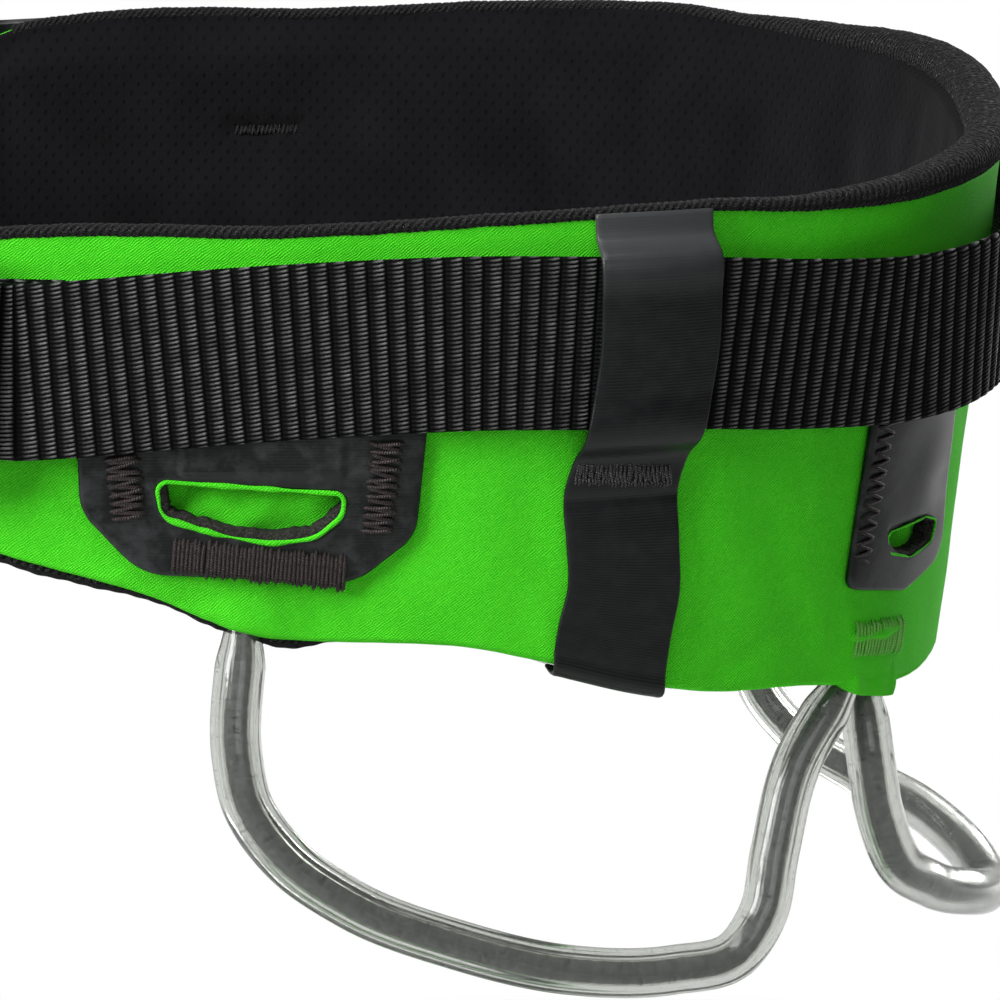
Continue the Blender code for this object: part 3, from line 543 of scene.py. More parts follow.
def satin_tape(name, dark, light, highlight_stretch=0.0):
    """Laminated tape: smooth, faintly ribbed, scuffed, with a painted highlight on a stretch at the start of a strip.
    """
    net = Net(name)
    _, along, place = net.weave()
    lines = net.wave(along, 0.55)
    scuffs = net.noise(place, 0.25, 6.0, 0.65)
    fine = net.noise(place, 2.0, 4.0)
    colour = net.mix(net.ramp(scuffs, 0.45, 0.75), dark, light)
    if highlight_stretch:
        # Painted highlight: the strip's first stretch is mixed towards a lighter grey.
        top_highlight = net.ramp(along, highlight_stretch, highlight_stretch * 0.4)
        colour = net.mix(top_highlight, colour, (0.052, 0.054, 0.056))
    net.bump(net.math("MULTIPLY_ADD", fine, 0.6, lines), 0.018, 0.7)
    return net.set(Base_Color=colour, Roughness=net.ramp(scuffs, 0.3, 0.75, 0.28, 0.42), Specular_IOR_Level=0.32)


def knit_binding():
    net = Net("knit_binding")
    s, turn, place = net.weave()
    rib = net.wave(net.math("MULTIPLY_ADD", turn, 0.9, s), 1.35)
    loops = net.wave(net.math("MULTIPLY_ADD", turn, 2.2, s), 0.6)
    fuzz = net.noise(place, 3.5, 4.0)
    specks = net.ramp(net.noise(place, 5.0, 2.0), 0.6, 0.75)
    height = net.math("ADD", net.math("MULTIPLY_ADD", loops, 0.4, rib), net.math("MULTIPLY", fuzz, 0.5))
    # Painted shade: the knit's hollows darker and its rib crests lighter.
    colour = net.mix(net.ramp(height, 0.6, 1.7), (0.0018, 0.0018, 0.002), (0.026, 0.026, 0.027))
    colour = net.mix(net.math("MULTIPLY", specks, 0.8), colour, (0.26, 0.26, 0.262))
    net.bump(height, 0.25)
    return net.set(Base_Color=colour, Roughness=0.85, Sheen_Weight=0.03, Specular_IOR_Level=0.1)


def spacer_mesh():
    """Lining: soft knit with rows of small dimples."""
    net = Net("spacer_mesh")
    s, z, place = net.weave()
    across, up = net.wave(s, 3.1), net.wave(z, 3.6)
    shifted, between = net.wave(s, 3.1, math.pi), net.wave(z, 3.6, math.pi)
    holes = net.math("MAXIMUM", net.math("MULTIPLY", across, up), net.math("MULTIPLY", shifted, between))
    pits = net.ramp(holes, 0.72, 0.95)
    fuzz = net.noise(place, 2.5, 4.0)
    patches = net.noise(place, 0.05, 3.0)
    colour = net.mix(net.ramp(fuzz, 0.3, 0.7), (0.0035, 0.0032, 0.0038), (0.0065, 0.006, 0.0072))
    colour = net.mix(net.ramp(patches, 0.35, 0.7), colour, (0.0075, 0.007, 0.0085))
    # Painted shade: the dimples' pits are darkened.
    colour = net.mix(net.math("MULTIPLY", pits, 0.4), colour, (0.001, 0.001, 0.0012))
    height = net.math("SUBTRACT", net.math("MULTIPLY", fuzz, 0.35), net.math("MULTIPLY", pits, 0.6))
    net.bump(height, 0.3)
    return net.set(Base_Color=colour, Roughness=0.95, Sheen_Weight=0.03, Specular_IOR_Level=0.1)


def thread_material(name, dark, light):
    net = Net(name)
    length, turn, place = net.weave()
    twist = net.wave(net.math("MULTIPLY_ADD", turn, 0.12, length), 0.42)
    fuzz = net.noise(place, 6.0, 2.0)
    wear_and_glint_patches = net.ramp(net.noise(place, 1.1, 3.0), 0.35, 0.65)
    crest_highlight = net.ramp(net.math("MULTIPLY", twist, fuzz), 0.2, 0.65)
    # Painted highlight: the twist's crests are mixed towards the light colour, in patches at random.
    colour = net.mix(net.math("MULTIPLY", crest_highlight, wear_and_glint_patches), dark, light)
    net.bump(twist, 0.12)
    return net.set(Base_Color=colour, Roughness=0.4, Sheen_Weight=0.02, Specular_IOR_Level=0.45)


def cut_foam():
    net = Net("cut_foam")
    place = net.weave()[2]
    grain = net.noise(place, 2.4, 5.0, 0.7)
    colour = net.mix(net.ramp(grain, 0.45, 0.75), (0.005, 0.0045, 0.004), (0.09, 0.078, 0.07))
    net.bump(grain, 0.35)
    return net.set(Base_Color=colour, Roughness=0.95)


def clear_tube():
    net = Net("clear_tube")
    place = net.weave()[2]
    haze = net.noise(place, 0.35, 4.0)
    specks = net.ramp(net.noise(place, 1.6, 3.0), 0.6, 0.7)
    colour = net.mix(specks, (0.63, 0.65, 0.61), (0.24, 0.24, 0.22))
    net.bump(haze, 0.05, 0.5)
    return net.set(Base_Color=colour, Roughness=net.ramp(haze, 0.3, 0.8, 0.04, 0.2), IOR=1.46,
                   Transmission_Weight=0.93, Specular_IOR_Level=0.6)


def cord_core():
    net = Net("cord_core")
    along, turn, place = net.weave()
    braid = net.wave(net.math("MULTIPLY_ADD", turn, 1.1, along), 2.2)
    other = net.wave(net.math("MULTIPLY_ADD", turn, -1.1, along), 2.2)
    grime = net.noise(place, 0.6, 5.0, 0.7)
    height = net.math("MAXIMUM", braid, other)
    colour = net.mix(net.ramp(grime, 0.42, 0.62), (0.012, 0.013, 0.015), (0.075, 0.08, 0.085))
    net.bump(height, 0.15)
    return net.set(Base_Color=colour, Roughness=0.6)


def anodised_metal():
    net = Net("anodised_metal")
    place = net.object_place()
    grain = net.noise(place, 900.0, 4.0)
    scuffs = net.noise(place, 70.0, 6.0, 0.7)
    edge = net.tree.nodes.new("ShaderNodeNewGeometry").outputs["Pointiness"]
    wear_and_glint_patches = net.math("MULTIPLY", net.ramp(edge, 0.52, 0.58), net.ramp(scuffs, 0.4, 0.6))
    colour = net.mix(net.ramp(scuffs, 0.35, 0.7), (0.012, 0.012, 0.013), (0.024, 0.024, 0.026))
    colour = net.mix(wear_and_glint_patches, colour, (0.3, 0.3, 0.31))
    net.bump(grain, 0.02)
    return net.set(Base_Color=colour, Metallic=0.55, Roughness=net.ramp(scuffs, 0.3, 0.7, 0.3, 0.48))


def moulded_plastic():
    net = Net("moulded_plastic")
    place = net.object_place()
    grain = net.noise(place, 1400.0, 2.0)
    flow = net.noise(place, 60.0, 3.0)
    colour = net.mix(flow, (0.012, 0.012, 0.013), (0.024, 0.024, 0.026))
    net.bump(grain, 0.04)
    return net.set(Base_Color=colour, Roughness=net.ramp(grain, 0.3, 0.7, 0.4, 0.55))


def studio_floor():
    """Pale matt floor that the camera sees as evenly lit white."""
    net = Net("studio_floor")
    place = net.object_place()
    tone = net.noise(place, 1.5, 2.0)
    net.set(Base_Color=net.mix(tone, (0.80, 0.80, 0.80), (0.84, 0.84, 0.84)), Roughness=0.9)
    rays = net.tree.nodes.new("ShaderNodeLightPath")
    seen = net.math("MAXIMUM", rays.outputs["Is Camera Ray"], rays.outputs["Is Transmission Ray"])
    glow = net.node("ShaderNodeEmission", Color=(1.0, 1.0, 1.0), Strength=1.0)
    both = net.node("ShaderNodeMixShader")
    net.put(both.inputs["Fac"], seen)
    net.put(both.inputs[1], net.shader.outputs["BSDF"])
    net.put(both.inputs[2], glow.outputs["Emission"])
    net.put(net.tree.nodes["Material Output"].inputs["Surface"], both.outputs[0])
    return net.material


# ---------------------------------------------------------------- padding


EDGE_ROUND = 1.6
TAPER_HEIGHT = 9.0  # of the band under the waist's top edge where the padding thins out


def edge_spread(x):
    """Spreads rows over a height so that they are closer near both edges."""
    return x - 0.75 * np.sin(2 * math.pi * x) / (2 * math.pi)


class Pad:
    """A closed pad section swept along a ring; turn 0 to 0.5 runs up the outside, 0.5 to 1 down the inside."""

    def __init__(self, ring, start, end, low, high, top_thickness=None):
        self.ring, self.start, self.end, self.low, self.high = ring, start, end, low, high
        self.top_thickness = top_thickness
        self.swell = None

    def section(self, s, turn, thickness=PAD_THICKNESS):
        """(z, out) for ring positions and turns round the section."""
        turn = np.mod(turn, 1.0)
        outside = turn < 0.5
        share = edge_spread(np.where(outside, turn * 2, 2 - turn * 2))
        low, high = self.low(s), self.high(s)
        to_end = np.minimum(s - self.start, self.end - s)
        radius = thickness / 2
        slim = np.sqrt(np.clip(1 - (np.clip(radius - to_end, 0, radius) / radius) ** 2, 0.02, 1))
        to_edge = np.minimum(share, 1 - share) * (high - low)
        swing = np.sqrt(np.clip(1 - (np.clip(EDGE_ROUND - to_edge, 0, EDGE_ROUND) / EDGE_ROUND) ** 2, 0, 1))
        z = low + share * (high - low)
        if self.top_thickness is not None:
            near_top = step01(z, high - TAPER_HEIGHT, high - 1.0)
            radius = radius + (self.top_thickness(s) / 2 - radius) * near_top
        return z, -radius + np.where(outside, 1, -1) * radius * slim * swing

    def swelling(self, s, turn):
        if self.swell is None:
            return 0.0
        return sample_grid(self.swell, self.start, self.end, s, turn)

    def surface(self, s, turn, extra=0.0):
        z, out = self.section(s, turn)
        side = np.where(np.mod(turn, 1.0) < 0.5, 1.0, -1.0)
        return self.ring.point(s, z, out + side * (self.swelling(s, turn) + extra)), z

    def simulate(self, name, rows, columns, cap, pinned):
        """Swells the pad with cloth pressure between its sewn lines and keeps the movement of each point."""
        s = np.linspace(self.start, self.end, rows)[:, None]
        turn = (np.arange(columns) / columns)[None, :]
        s, turn = np.broadcast_arrays(s, turn)
        points, z = self.surface(s, turn)
        pad = tube_piece(name, points, np.stack((s, z, turn), -1))
        held = np.clip(pinned(s, z, turn), 0, 1)
        group = pad.vertex_groups.new(name="sewn")
        for index, weight in enumerate(held.ravel()):
            group.add([index], float(weight), "REPLACE")
        cloth = pad.modifiers.new("Cloth", "CLOTH")
        cloth.settings.quality = 5
        cloth.settings.mass = 0.25
        cloth.settings.tension_stiffness = 12
        cloth.settings.compression_stiffness = 12
        cloth.settings.bending_stiffness = 0.8
        cloth.settings.use_pressure = True
        cloth.settings.uniform_pressure_force = 4.0
        cloth.settings.vertex_group_mass = "sewn"
        cloth.settings.pin_stiffness = 1.0
        cloth.settings.effector_weights.gravity = 0.0
        cloth.collision_settings.use_collision = False
        scene = bpy.context.scene
        for step in range(1, 21):
            scene.frame_set(step)
        graph = bpy.context.evaluated_depsgraph_get()
        moved = np.empty(len(pad.data.vertices) * 3, np.float32)
        pad.evaluated_get(graph).data.vertices.foreach_get("co", moved)
        moved = moved.reshape(rows, columns, 3) / MM + ORIGIN
        side = np.where(turn < 0.5, 1.0, -1.0)
        outward = self.ring.normal(s) * side[..., None]
        swell = np.sum((moved - points) * outward, -1)
        scene.frame_set(1)
        bpy.data.objects.remove(pad, do_unlink=True)
        self.swell = cap * np.tanh(np.nan_to_num(swell) / cap) * (1 - held)
        print(f"{name}: swelling {self.swell.min():.2f} to {self.swell.max():.2f} mm")


def cubic_rows(grid, at):
    """Catmull-Rom interpolation of a grid's rows at fractional row numbers, one set for each column."""
    i = np.clip(np.floor(at).astype(int), 0, grid.shape[0] - 2)
    t = at - i
    rows = [grid[np.clip(i + k, 0, grid.shape[0] - 1)] for k in (-1, 0, 1, 2)]
    a, b, c, d = rows
    t = t.reshape(-1, *([1] * (grid.ndim - 1)))
    return (2 * b + (c - a) * t + (2 * a - 5 * b + 4 * c - d) * t**2 + (3 * b - a - 3 * c + d) * t**3) / 2


def sample_grid(grid, start, end, s, turn):
    """A grid over (s, turn), periodic in turn, read at a rectangular set of finer places."""
    s_rows, turns = s[:, 0], np.mod(turn[0], 1.0)
    rows = cubic_rows(grid, (s_rows - start) / (end - start) * (grid.shape[0] - 1))
    padded = np.concatenate((rows[:, -2:], rows, rows[:, :3]), axis=1).T
    return cubic_rows(padded, turns * grid.shape[1] + 2).T


# Folds of the waist shell, as (s, z, direction in degrees, half length, half width, height).
WAIST_FOLDS = (
    (228, -38, -28, 10, 1.6, 0.55), (216, -42, -14, 9, 1.5, -0.5), (204, -45.5, 62, 6, 1.5, 0.5),
    (197, -44, 75, 6, 1.8, -0.45), (186, -44, 38, 9, 2.0, 0.45), (240, -28, 55, 8, 2.2, 0.4),
    (251, -22, 70, 9, 2.5, 0.5), (125, -26, 80, 14, 3.0, 0.35), (112, -42, 74, 16, 3.4, -0.4),
    (104, -30, 78, 18, 3.0, 0.35), (132, -60, 30, 9, 1.8, 0.5), (120, -59, -20, 10, 2.0, -0.4),
    (100, -58, 66, 9, 2.2, 0.6), (97, -62, 85, 7, 1.8, -0.5), (156, -50, 60, 8, 2.2, 0.4),
    (168, -36, 76, 14, 3.5, 0.3), (160, -28, 84, 12, 3.0, -0.3), (74, -64, 80, 5, 1.6, 0.4),
)


def folds(s, z, table):
    height = np.zeros(np.broadcast(s, z).shape)
    for s0, z0, direction, length, width, rise in table:
        c, v = math.cos(math.radians(direction)), math.sin(math.radians(direction))
        along, across = (np.abs(s) - s0) * c + (z - z0) * v, (z - z0) * c - (np.abs(s) - s0) * v
        height = height + rise * np.exp(-((along / length) ** 2) - (across / width) ** 2)
    return height


def ripples(s, z, seed):
    """A gentle unevenness from a few seeded waves."""
    draw = np.random.default_rng(seed)
    height = np.zeros(np.broadcast(s, z).shape)
    for _ in range(14):
        length = draw.uniform(14, 45)
        turn, phase = draw.uniform(0, 2 * math.pi, 2)
        height = height + np.sin(2 * math.pi * (s * math.cos(turn) + z * math.sin(turn)) / length + phase)
    return height * 0.035


def outline(corners, radii, steps=6):
    """A closed outline whose corners are rounded by arcs."""
    corners = [np.array(c, float) for c in corners]
    points = []
    for i, here in enumerate(corners):
        before = unit(corners[i - 1] - here)
        after = unit(corners[(i + 1) % len(corners)] - here)
        half = math.acos(np.clip(np.dot(before, after), -1, 1)) / 2
        centre = here + unit(before + after) * radii[i] / math.sin(half)
        a = here + before * radii[i] / math.tan(half) - centre
        b = here + after * radii[i] / math.tan(half) - centre
        angle_a = math.atan2(a[1], a[0])
        turn = (math.atan2(b[1], b[0]) - angle_a + math.pi) % (2 * math.pi) - math.pi
        for k in range(steps + 1):
            angle = angle_a + turn * k / steps
            points.append(centre + radii[i] * np.array((math.cos(angle), math.sin(angle))))
    return np.array(points)


def even_outline(points, count, start):
    """The outline as `count` evenly spaced points, beginning at the one nearest to start."""
    loop = np.concatenate((points, points[:1]))
    length = np.concatenate(([0.0], np.cumsum(np.linalg.norm(np.diff(loop, axis=0), axis=1))))
    fine = np.linspace(0, length[-1], 4001)[:-1]
    dense = np.stack([np.interp(fine, length, loop[:, k]) for k in (0, 1)], -1)
    first = np.argmin(np.linalg.norm(dense - np.array(start), axis=1))
    dense = np.roll(dense, -first, axis=0)
    return dense[(np.arange(count) * len(dense) / count).astype(int)]


def inside_distance(s, z, loop):
    """How far inside a convex outline each place is; negative outside."""
    area = np.sum(loop[:, 0] * np.roll(loop[:, 1], -1) - np.roll(loop[:, 0], -1) * loop[:, 1])
    distance = np.full(np.broadcast(s, z).shape, 1e9)
    for a, b in zip(loop, np.roll(loop, -1, axis=0)):
        edge = b - a
        length = np.hypot(*edge)
        if length < 1e-6:
            continue
        side = (edge[0] * (z - a[1]) - edge[1] * (s - a[0])) / length * (1 if area > 0 else -1)
        distance = np.minimum(distance, side)
    return distance


FRONT_PATCH = outline([(177.6, -13.0), (236.4, -13.0), (236.0, -27.0), (226.0, -38.0), (190.0, -40.0),
                       (179.6, -32.0)], [0.8, 0.8, 8.0, 11.0, 11.0, 7.0])
FRONT_SLOT = outline([(223.2, -21.9), (222.4, -28.2), (213.0, -31.2), (204.0, -32.9), (196.5, -32.0), (191.9, -28.2),
                      (191.6, -24.4)], [1.8, 3.2, 12.0, 12.0, 6.0, 3.2, 1.5], 12)
REAR_PATCH = outline([(92.2, -15.5), (96.2, -49.4), (77.0, -53.4), (60.5, -50.6), (60.5, -15.5)],
                     [0.8, 2.5, 5.0, 5.0, 0.8])
REAR_SLOT = outline([(85.9, -41.0), (84.4, -45.0), (76.0, -47.4), (66.8, -46.4), (65.2, -42.8), (71.0, -41.0)],
                    [1.2, 2.0, 4.0, 1.4, 1.0, 2.0])
SLOT_DEPTH = 5.0  # of the shell below its face under a patch's slot, out of sight under the pocket's floor
KEEPER_S, KEEPER_HALF = 142.0, 11.0
KEEPER_HIGHLIGHT = 15.0  # length of the tape's top stretch that is painted lighter as a highlight
INNER_TACK = (213.0, -3.0)  # a bar tack sewn through to the lining, on both sides
TUBE_EXITS = (209.2, 91.3, 81.0)
GEAR_TAB_S, GEAR_TAB_HALF = 84.2, 11.8


def waist_flatness(s, z):
    """1 where a patch, the keeper tape, the gear tab or the buckle holds the padding flat."""
    side = np.abs(s)
    flat = step01(inside_distance(side, z, FRONT_PATCH), -5, 0)
    flat = np.maximum(flat, step01(inside_distance(side, z, REAR_PATCH), -5, 0))
    flat = np.maximum(flat, step01(KEEPER_HALF - np.abs(side - KEEPER_S), -6, 0))
    flat = np.maximum(flat, step01(GEAR_TAB_HALF - np.abs(side - GEAR_TAB_S), -6, 0) * step01(-z, 48, 54))
    return np.maximum(flat, step01(side, 240, 252))


def tack_hollow(s, z):
    """1 at the bar tack through the lining, fading round it."""
    return np.exp(-(((np.abs(s) - INNER_TACK[0]) / 13) ** 2) - ((z - INNER_TACK[1]) / 8) ** 2)


def waist_pins(s, z, turn):
    edge = np.minimum(WAIST_TOP(s) - z, z - WAIST_BOTTOM(s))
    sewn = 1 - step01(edge, 1.0, 5.0)
    outside = np.where(turn < 0.5, waist_flatness(s, z), 1.3 * tack_hollow(s, z))
    return np.maximum(sewn, outside)


def waist_shell_relief(s, z):
    """Height of folds, ripples and slots of the shell above its plain course."""
    free = 1 - waist_flatness(s, z)
    edge = np.minimum(WAIST_TOP(s) - z, z - WAIST_BOTTOM(s))
    relief = folds(s, z, WAIST_FOLDS) * (0.25 + 0.75 * free)
    relief = np.minimum(relief, 0.1 + 1.5 * free) + ripples(s, z, 3) * free
    for exit_s in TUBE_EXITS:
        spread = np.exp(-(((np.abs(s) - exit_s) / 5.5) ** 2)) * np.exp(-((z - WAIST_BOTTOM(s)) / 9.0) ** 2)
        relief = relief + 1.5 * spread
    relief = relief * step01(edge, -0.5, 3.0) + 0.3 * (1 - step01(edge, -0.5, 3.0)) * np.sin(s * 0.9) * 0.2
    for slot in (FRONT_SLOT, REAR_SLOT):
        relief = relief - SLOT_DEPTH * step01(inside_distance(np.abs(s), z, slot), -1.7, -0.2)
    return relief


def lining_relief(s, z):
    """Dimple of the bar tack sewn through the lining, with a soft hollow round it."""
    u, v = np.abs(s) - INNER_TACK[0], z - INNER_TACK[1]
    box = np.maximum(np.abs(u) / 7.5, np.abs(v) / 1.9)
    puckers = 0.25 * np.sin(u * 1.3 + v * 0.5) * np.exp(-((u / 9) ** 2) - (v / 6) ** 2)
    return -1.1 * (1 - step01(box, 0.8, 1.3)) - 1.3 * tack_hollow(s, z) + puckers + ripples(s, z, 11) * 2


def pad_pieces(pad, prefix, suffix, step, shell_relief, inner_relief):
    """The shell, foam and lining of a pad as three thin closed pieces."""
    rows = round((pad.end - pad.start) / step) + 1
    s = np.linspace(pad.start, pad.end, rows)[:, None]
    height = np.max(pad.high(s) - pad.low(s))
    columns = round(height / step * 1.15)

    def sheet(first, last, relief, lift, thickness, name):
        turn = np.linspace(first, last, columns)[None, :]
        places, turns = np.broadcast_arrays(s, turn)
        _, z = pad.surface(places, turns)
        points, z = pad.surface(places, turns, relief(places, z) + lift)
        weave = np.stack((places, z, turns), -1)
        normals = surface_normals(points)
        sign = 1.0 if np.mean(np.sum(normals * pad.ring.normal(places), -1)) > 0 else -1.0
        if lift:
            sign = -sign
        return slab_piece(name, points, weave, thickness, sign)

    shell = sheet(-0.02, 0.507, shell_relief, 0.0, 0.8, f"{prefix}_shell{suffix}")
    lining = sheet(0.5, 1.0, inner_relief, 0.45, 0.6, f"{prefix}_lining{suffix}")
    coarse = np.linspace(pad.start + 2, pad.end - 2, 120)[:, None]
    turn = (np.arange(40) / 40)[None, :]
    places, turns = np.broadcast_arrays(coarse, turn)
    z, out = pad.section(places, turns)
    middle = (pad.low(places) + pad.high(places)) / 2
    z = middle + (z - middle) * 0.965
    out = -PAD_THICKNESS / 2 + (out + PAD_THICKNESS / 2) * 0.62
    if pad.top_thickness is not None:
        out = np.maximum(out, 1.2 - PAD_THICKNESS + (PAD_THICKNESS - pad.top_thickness(places))
                         * step01(z, pad.high(places) - TAPER_HEIGHT, pad.high(places) - 1.0))
    out = np.minimum(out, np.where(turns < 0.5, np.minimum(-1.2, shell_relief(places, z) - 1.2), out))
    out = np.maximum(out, np.where(turns < 0.5, out, 1.3 - PAD_THICKNESS - inner_relief(places, z)))
    foam = tube_piece(f"{prefix}_foam{suffix}", pad.ring.point(places, z, out), np.stack((places, z, turns), -1))
    return shell, foam, lining


def waist_padding(fabric, mesh, foam_material):
    pad = Pad(WAIST, -PAD_END, PAD_END, WAIST_BOTTOM, WAIST_TOP, TOP_EDGE_THICKNESS)
    pad.simulate("waist_pad_cloth", 131, 40, 1.3, waist_pins)
    shell, foam, lining = pad_pieces(pad, "waist", "_fabric", 1.25, waist_shell_relief, lining_relief)
    finish_piece(shell, fabric, "waist", "shell_green", "waist_shell")
    finish_piece(foam, foam_material, "waist", "foam_grey", "waist_foam")
    finish_piece(lining, mesh, "waist", "mesh_black", "waist_lining")


def leg_padding(fabric, mesh, foam_material):
    pad = Pad(LEG, -228.0, 172.0, LEG_BOTTOM, LEG_TOP)

    def pins(s, z, turn):
        edge = np.minimum(LEG_TOP(s) - z, z - LEG_BOTTOM(s))
        near_buckle = np.where(turn < 0.5, step01(s, 140, 155), 0.0)
        return np.maximum(1 - step01(edge, 1.0, 5.0), near_buckle)

    pad.simulate("leg_pad_cloth", 91, 32, 1.1, pins)

    def relief(s, z):
        edge = np.minimum(LEG_TOP(s) - z, z - LEG_BOTTOM(s))
        return (ripples(s, z, 5) * 1.4) * step01(edge, 0, 4)

    pieces = pad_pieces(pad, "leg", "_fabric_left", 1.8, relief, lambda s, z: ripples(s, z, 8))
    finishes = ((fabric, "shell_green", "leg_shell_left"), (foam_material, "foam_grey", "leg_foam_left"),
                (mesh, "mesh_black", "leg_lining_left"))
    for piece, (material, slot, node) in zip(pieces, finishes):
        both_sides(piece, material, "leg_loop_left", slot, node)


def waist_binding(material):
    """Knitted binding rolled over the top edge, higher and flared at the back."""
    s = np.linspace(-BINDING_END, BINDING_END, 1065)[:, None]
    turn = np.linspace(0, 2 * math.pi, 28, endpoint=False)[None, :]
    rise = BINDING_RISE(s)
    overlap = 1.5  # of the binding's lower half over the pad's rounded edge
    half_height = (rise + overlap) / 2
    half_width = TOP_EDGE_THICKNESS(s) / 2 + 0.5
    centre = WAIST_TOP(s) + rise - half_height
    flare = -TOP_EDGE_THICKNESS(s) / 2 + 0.3 * np.maximum(rise - 1.5, 0.0)
    ribs = 0.13 * np.sin(2 * math.pi * (s + 0.9 * turn) / 1.35)
    sag = 0.07 * np.sin(s * 0.37 + 2) * np.sin(turn + s * 0.11) + 0.06 * np.sin(s * 1.7) * np.sin(s * 0.9 + turn)
    z = centre + (half_height + ribs * 0.7 + sag) * np.sin(turn)
    squareness = np.sign(np.cos(turn)) * np.abs(np.cos(turn)) ** 0.75
    out = flare + (half_width + ribs + sag) * squareness
    points = WAIST.point(s, z, out)
    weave = np.stack(np.broadcast_arrays(s, turn, 0.0), -1)
    knit = tube_piece("waist_binding_knit", points, weave)
    finish_piece(knit, material, "waist", "mesh_black", "waist_top_binding")


def lower_binding(material):
    """Lining turned out under the shell's lower edge, showing as a thin dark line near the front."""
    draw = np.random.default_rng(9)
    s = np.linspace(184.0, 264.0, 161)[:, None]
    turn = np.linspace(0, 2 * math.pi, 12, endpoint=False)[None, :]
    bumps = sum(np.sin(2 * math.pi * s / draw.uniform(3, 16) + draw.uniform(0, 6)) for _ in range(6)) * 0.06
    shown = 0.35 + 0.9 * step01(s, 222, 240) + 0.7 * np.exp(-(((s - 202.0) / 6.0) ** 2))
    shown = shown - 1.4 * (1 - step01(s, 184, 202))
    radius = 1.15 + bumps
    z = WAIST_BOTTOM(s) + 0.9 - shown + radius * np.sin(turn)
    out = -2.6 + radius * 1.3 * np.cos(turn)
    weave = np.stack(np.broadcast_arrays(s, turn, 0.0), -1)
    both_sides(tube_piece("waist_lower_binding_left", WAIST.point(s, z, out), weave), material, "waist", "mesh_black")


# ---------------------------------------------------------------- webbing


WEB_PITCH = 3.14
WAIST_BUCKLE_S, LEG_BUCKLE_S, WAIST_PLATE_Z = 272.0, 190.0, -2.8


class Spot:
    """Local frame of a buckle: u along the ring, w outwards, z across."""

    def __init__(self, ring, s, z):
        self.origin = ring.point(s, z)
        self.along, self.up = ring.tangent(s), ring.up(s)
        self.out = unit(np.cross(self.along, self.up))
        if np.dot(self.out, ring.normal(s)) < 0:
            self.out = -self.out

    def point(self, u, w):
        return self.origin + self.along * u + self.out * w


def eye_path(spot, ring, s):
    reach = -19.0
    surface = np.dot(ring.point(s + reach, 0.0) - ring.point(s, 0.0), spot.out)
    over = [(reach, surface + 3.6), (-16.2, 3.6), (-14.2, 7.0), (-12.2, 9.2), (-9.0, 9.7), (-6.0, 9.3), (-4.7, 6.5)]
    under = [(-6.0, 3.8), (-9.0, 3.0), (-13.0, 1.4), (reach, surface + 1.35)]
    return [spot.point(u, w) for u, w in over + under]


DOUBLE_BACK = ((21.0, 1.6), (14.0, 2.2), (8.0, 2.8), (4.0, 4.2), (2.2, 7.0), (2.0, 11.0), (3.4, 14.2), (6.5, 15.3),
               (10.5, 14.3), (14.5, 11.6), (20.0, 9.8))


def flip_x(points):
    return [np.array((-p[0], p[1], p[2])) for p in points]


def stations(start, end, step):
    return np.linspace(start, end, max(1, round(abs(end - start) / step)) + 1)


def web_out(s):
    return 2.0 + WEB_THICKNESS / 2 + WEB_STAND_OFF(s)


def waist_webbing(material):
    spot = Spot(WAIST, WAIST_BUCKLE_S, WAIST_PLATE_Z)
    run = stations(0.0, 246.0, 5.5)
    half = [WAIST.point(s, WEB_CENTRE(s), web_out(s)) for s in run]
    up = [WAIST.up(s) for s in run]
    eye = eye_path(spot, WAIST, WAIST_BUCKLE_S)
    half += eye + [WAIST.point(s, WAIST_PLATE_Z, 1.3) for s in (246.0, 238.0)]
    up += [spot.up] * len(eye) + [WAIST.up(s) for s in (246.0, 238.0)]
    path = flip_x(half[:0:-1]) + half
    across = flip_x(up[:0:-1]) + up
    band = strap("waist_webbing_woven", path, across, WAIST_WEB_WIDTH, WEB_THICKNESS, 0.4, 17,
                 rib=(WEB_PITCH, 0.42, 0.0))
    finish_piece(band, material, "waist", "webbing_black", "waist_webbing")


def waist_front_strap(material):
    spot = Spot(WAIST, WAIST_BUCKLE_S, WAIST_PLATE_Z)
    tail_out = Profile((288, 9.4), (305, 7.4), (330, 6.0), (356, 5.6))
    inner = stations(WAIST.total / 2, 299.0, 8.0)
    tail = stations(297.0, 356.0, 8.0)
    half = [WAIST.point(s, -1.5, 1.6) for s in inner] + [spot.point(u, w) for u, w in DOUBLE_BACK]
    half += [WAIST.point(s, -2.0, tail_out(s)) for s in tail]
    up = [WAIST.up(s) for s in inner] + [spot.up] * len(DOUBLE_BACK) + [WAIST.up(s) for s in tail]
    path = flip_x(half[:0:-1]) + half
    across = flip_x(up[:0:-1]) + up
    band = strap("waist_front_webbing", path, across, WAIST_WEB_WIDTH, WEB_THICKNESS, 0.45, 13,
                 rib=(WEB_PITCH, 0.4, 0.0))
    finish_piece(band, material, "waist", "webbing_black", "waist_front_strap")


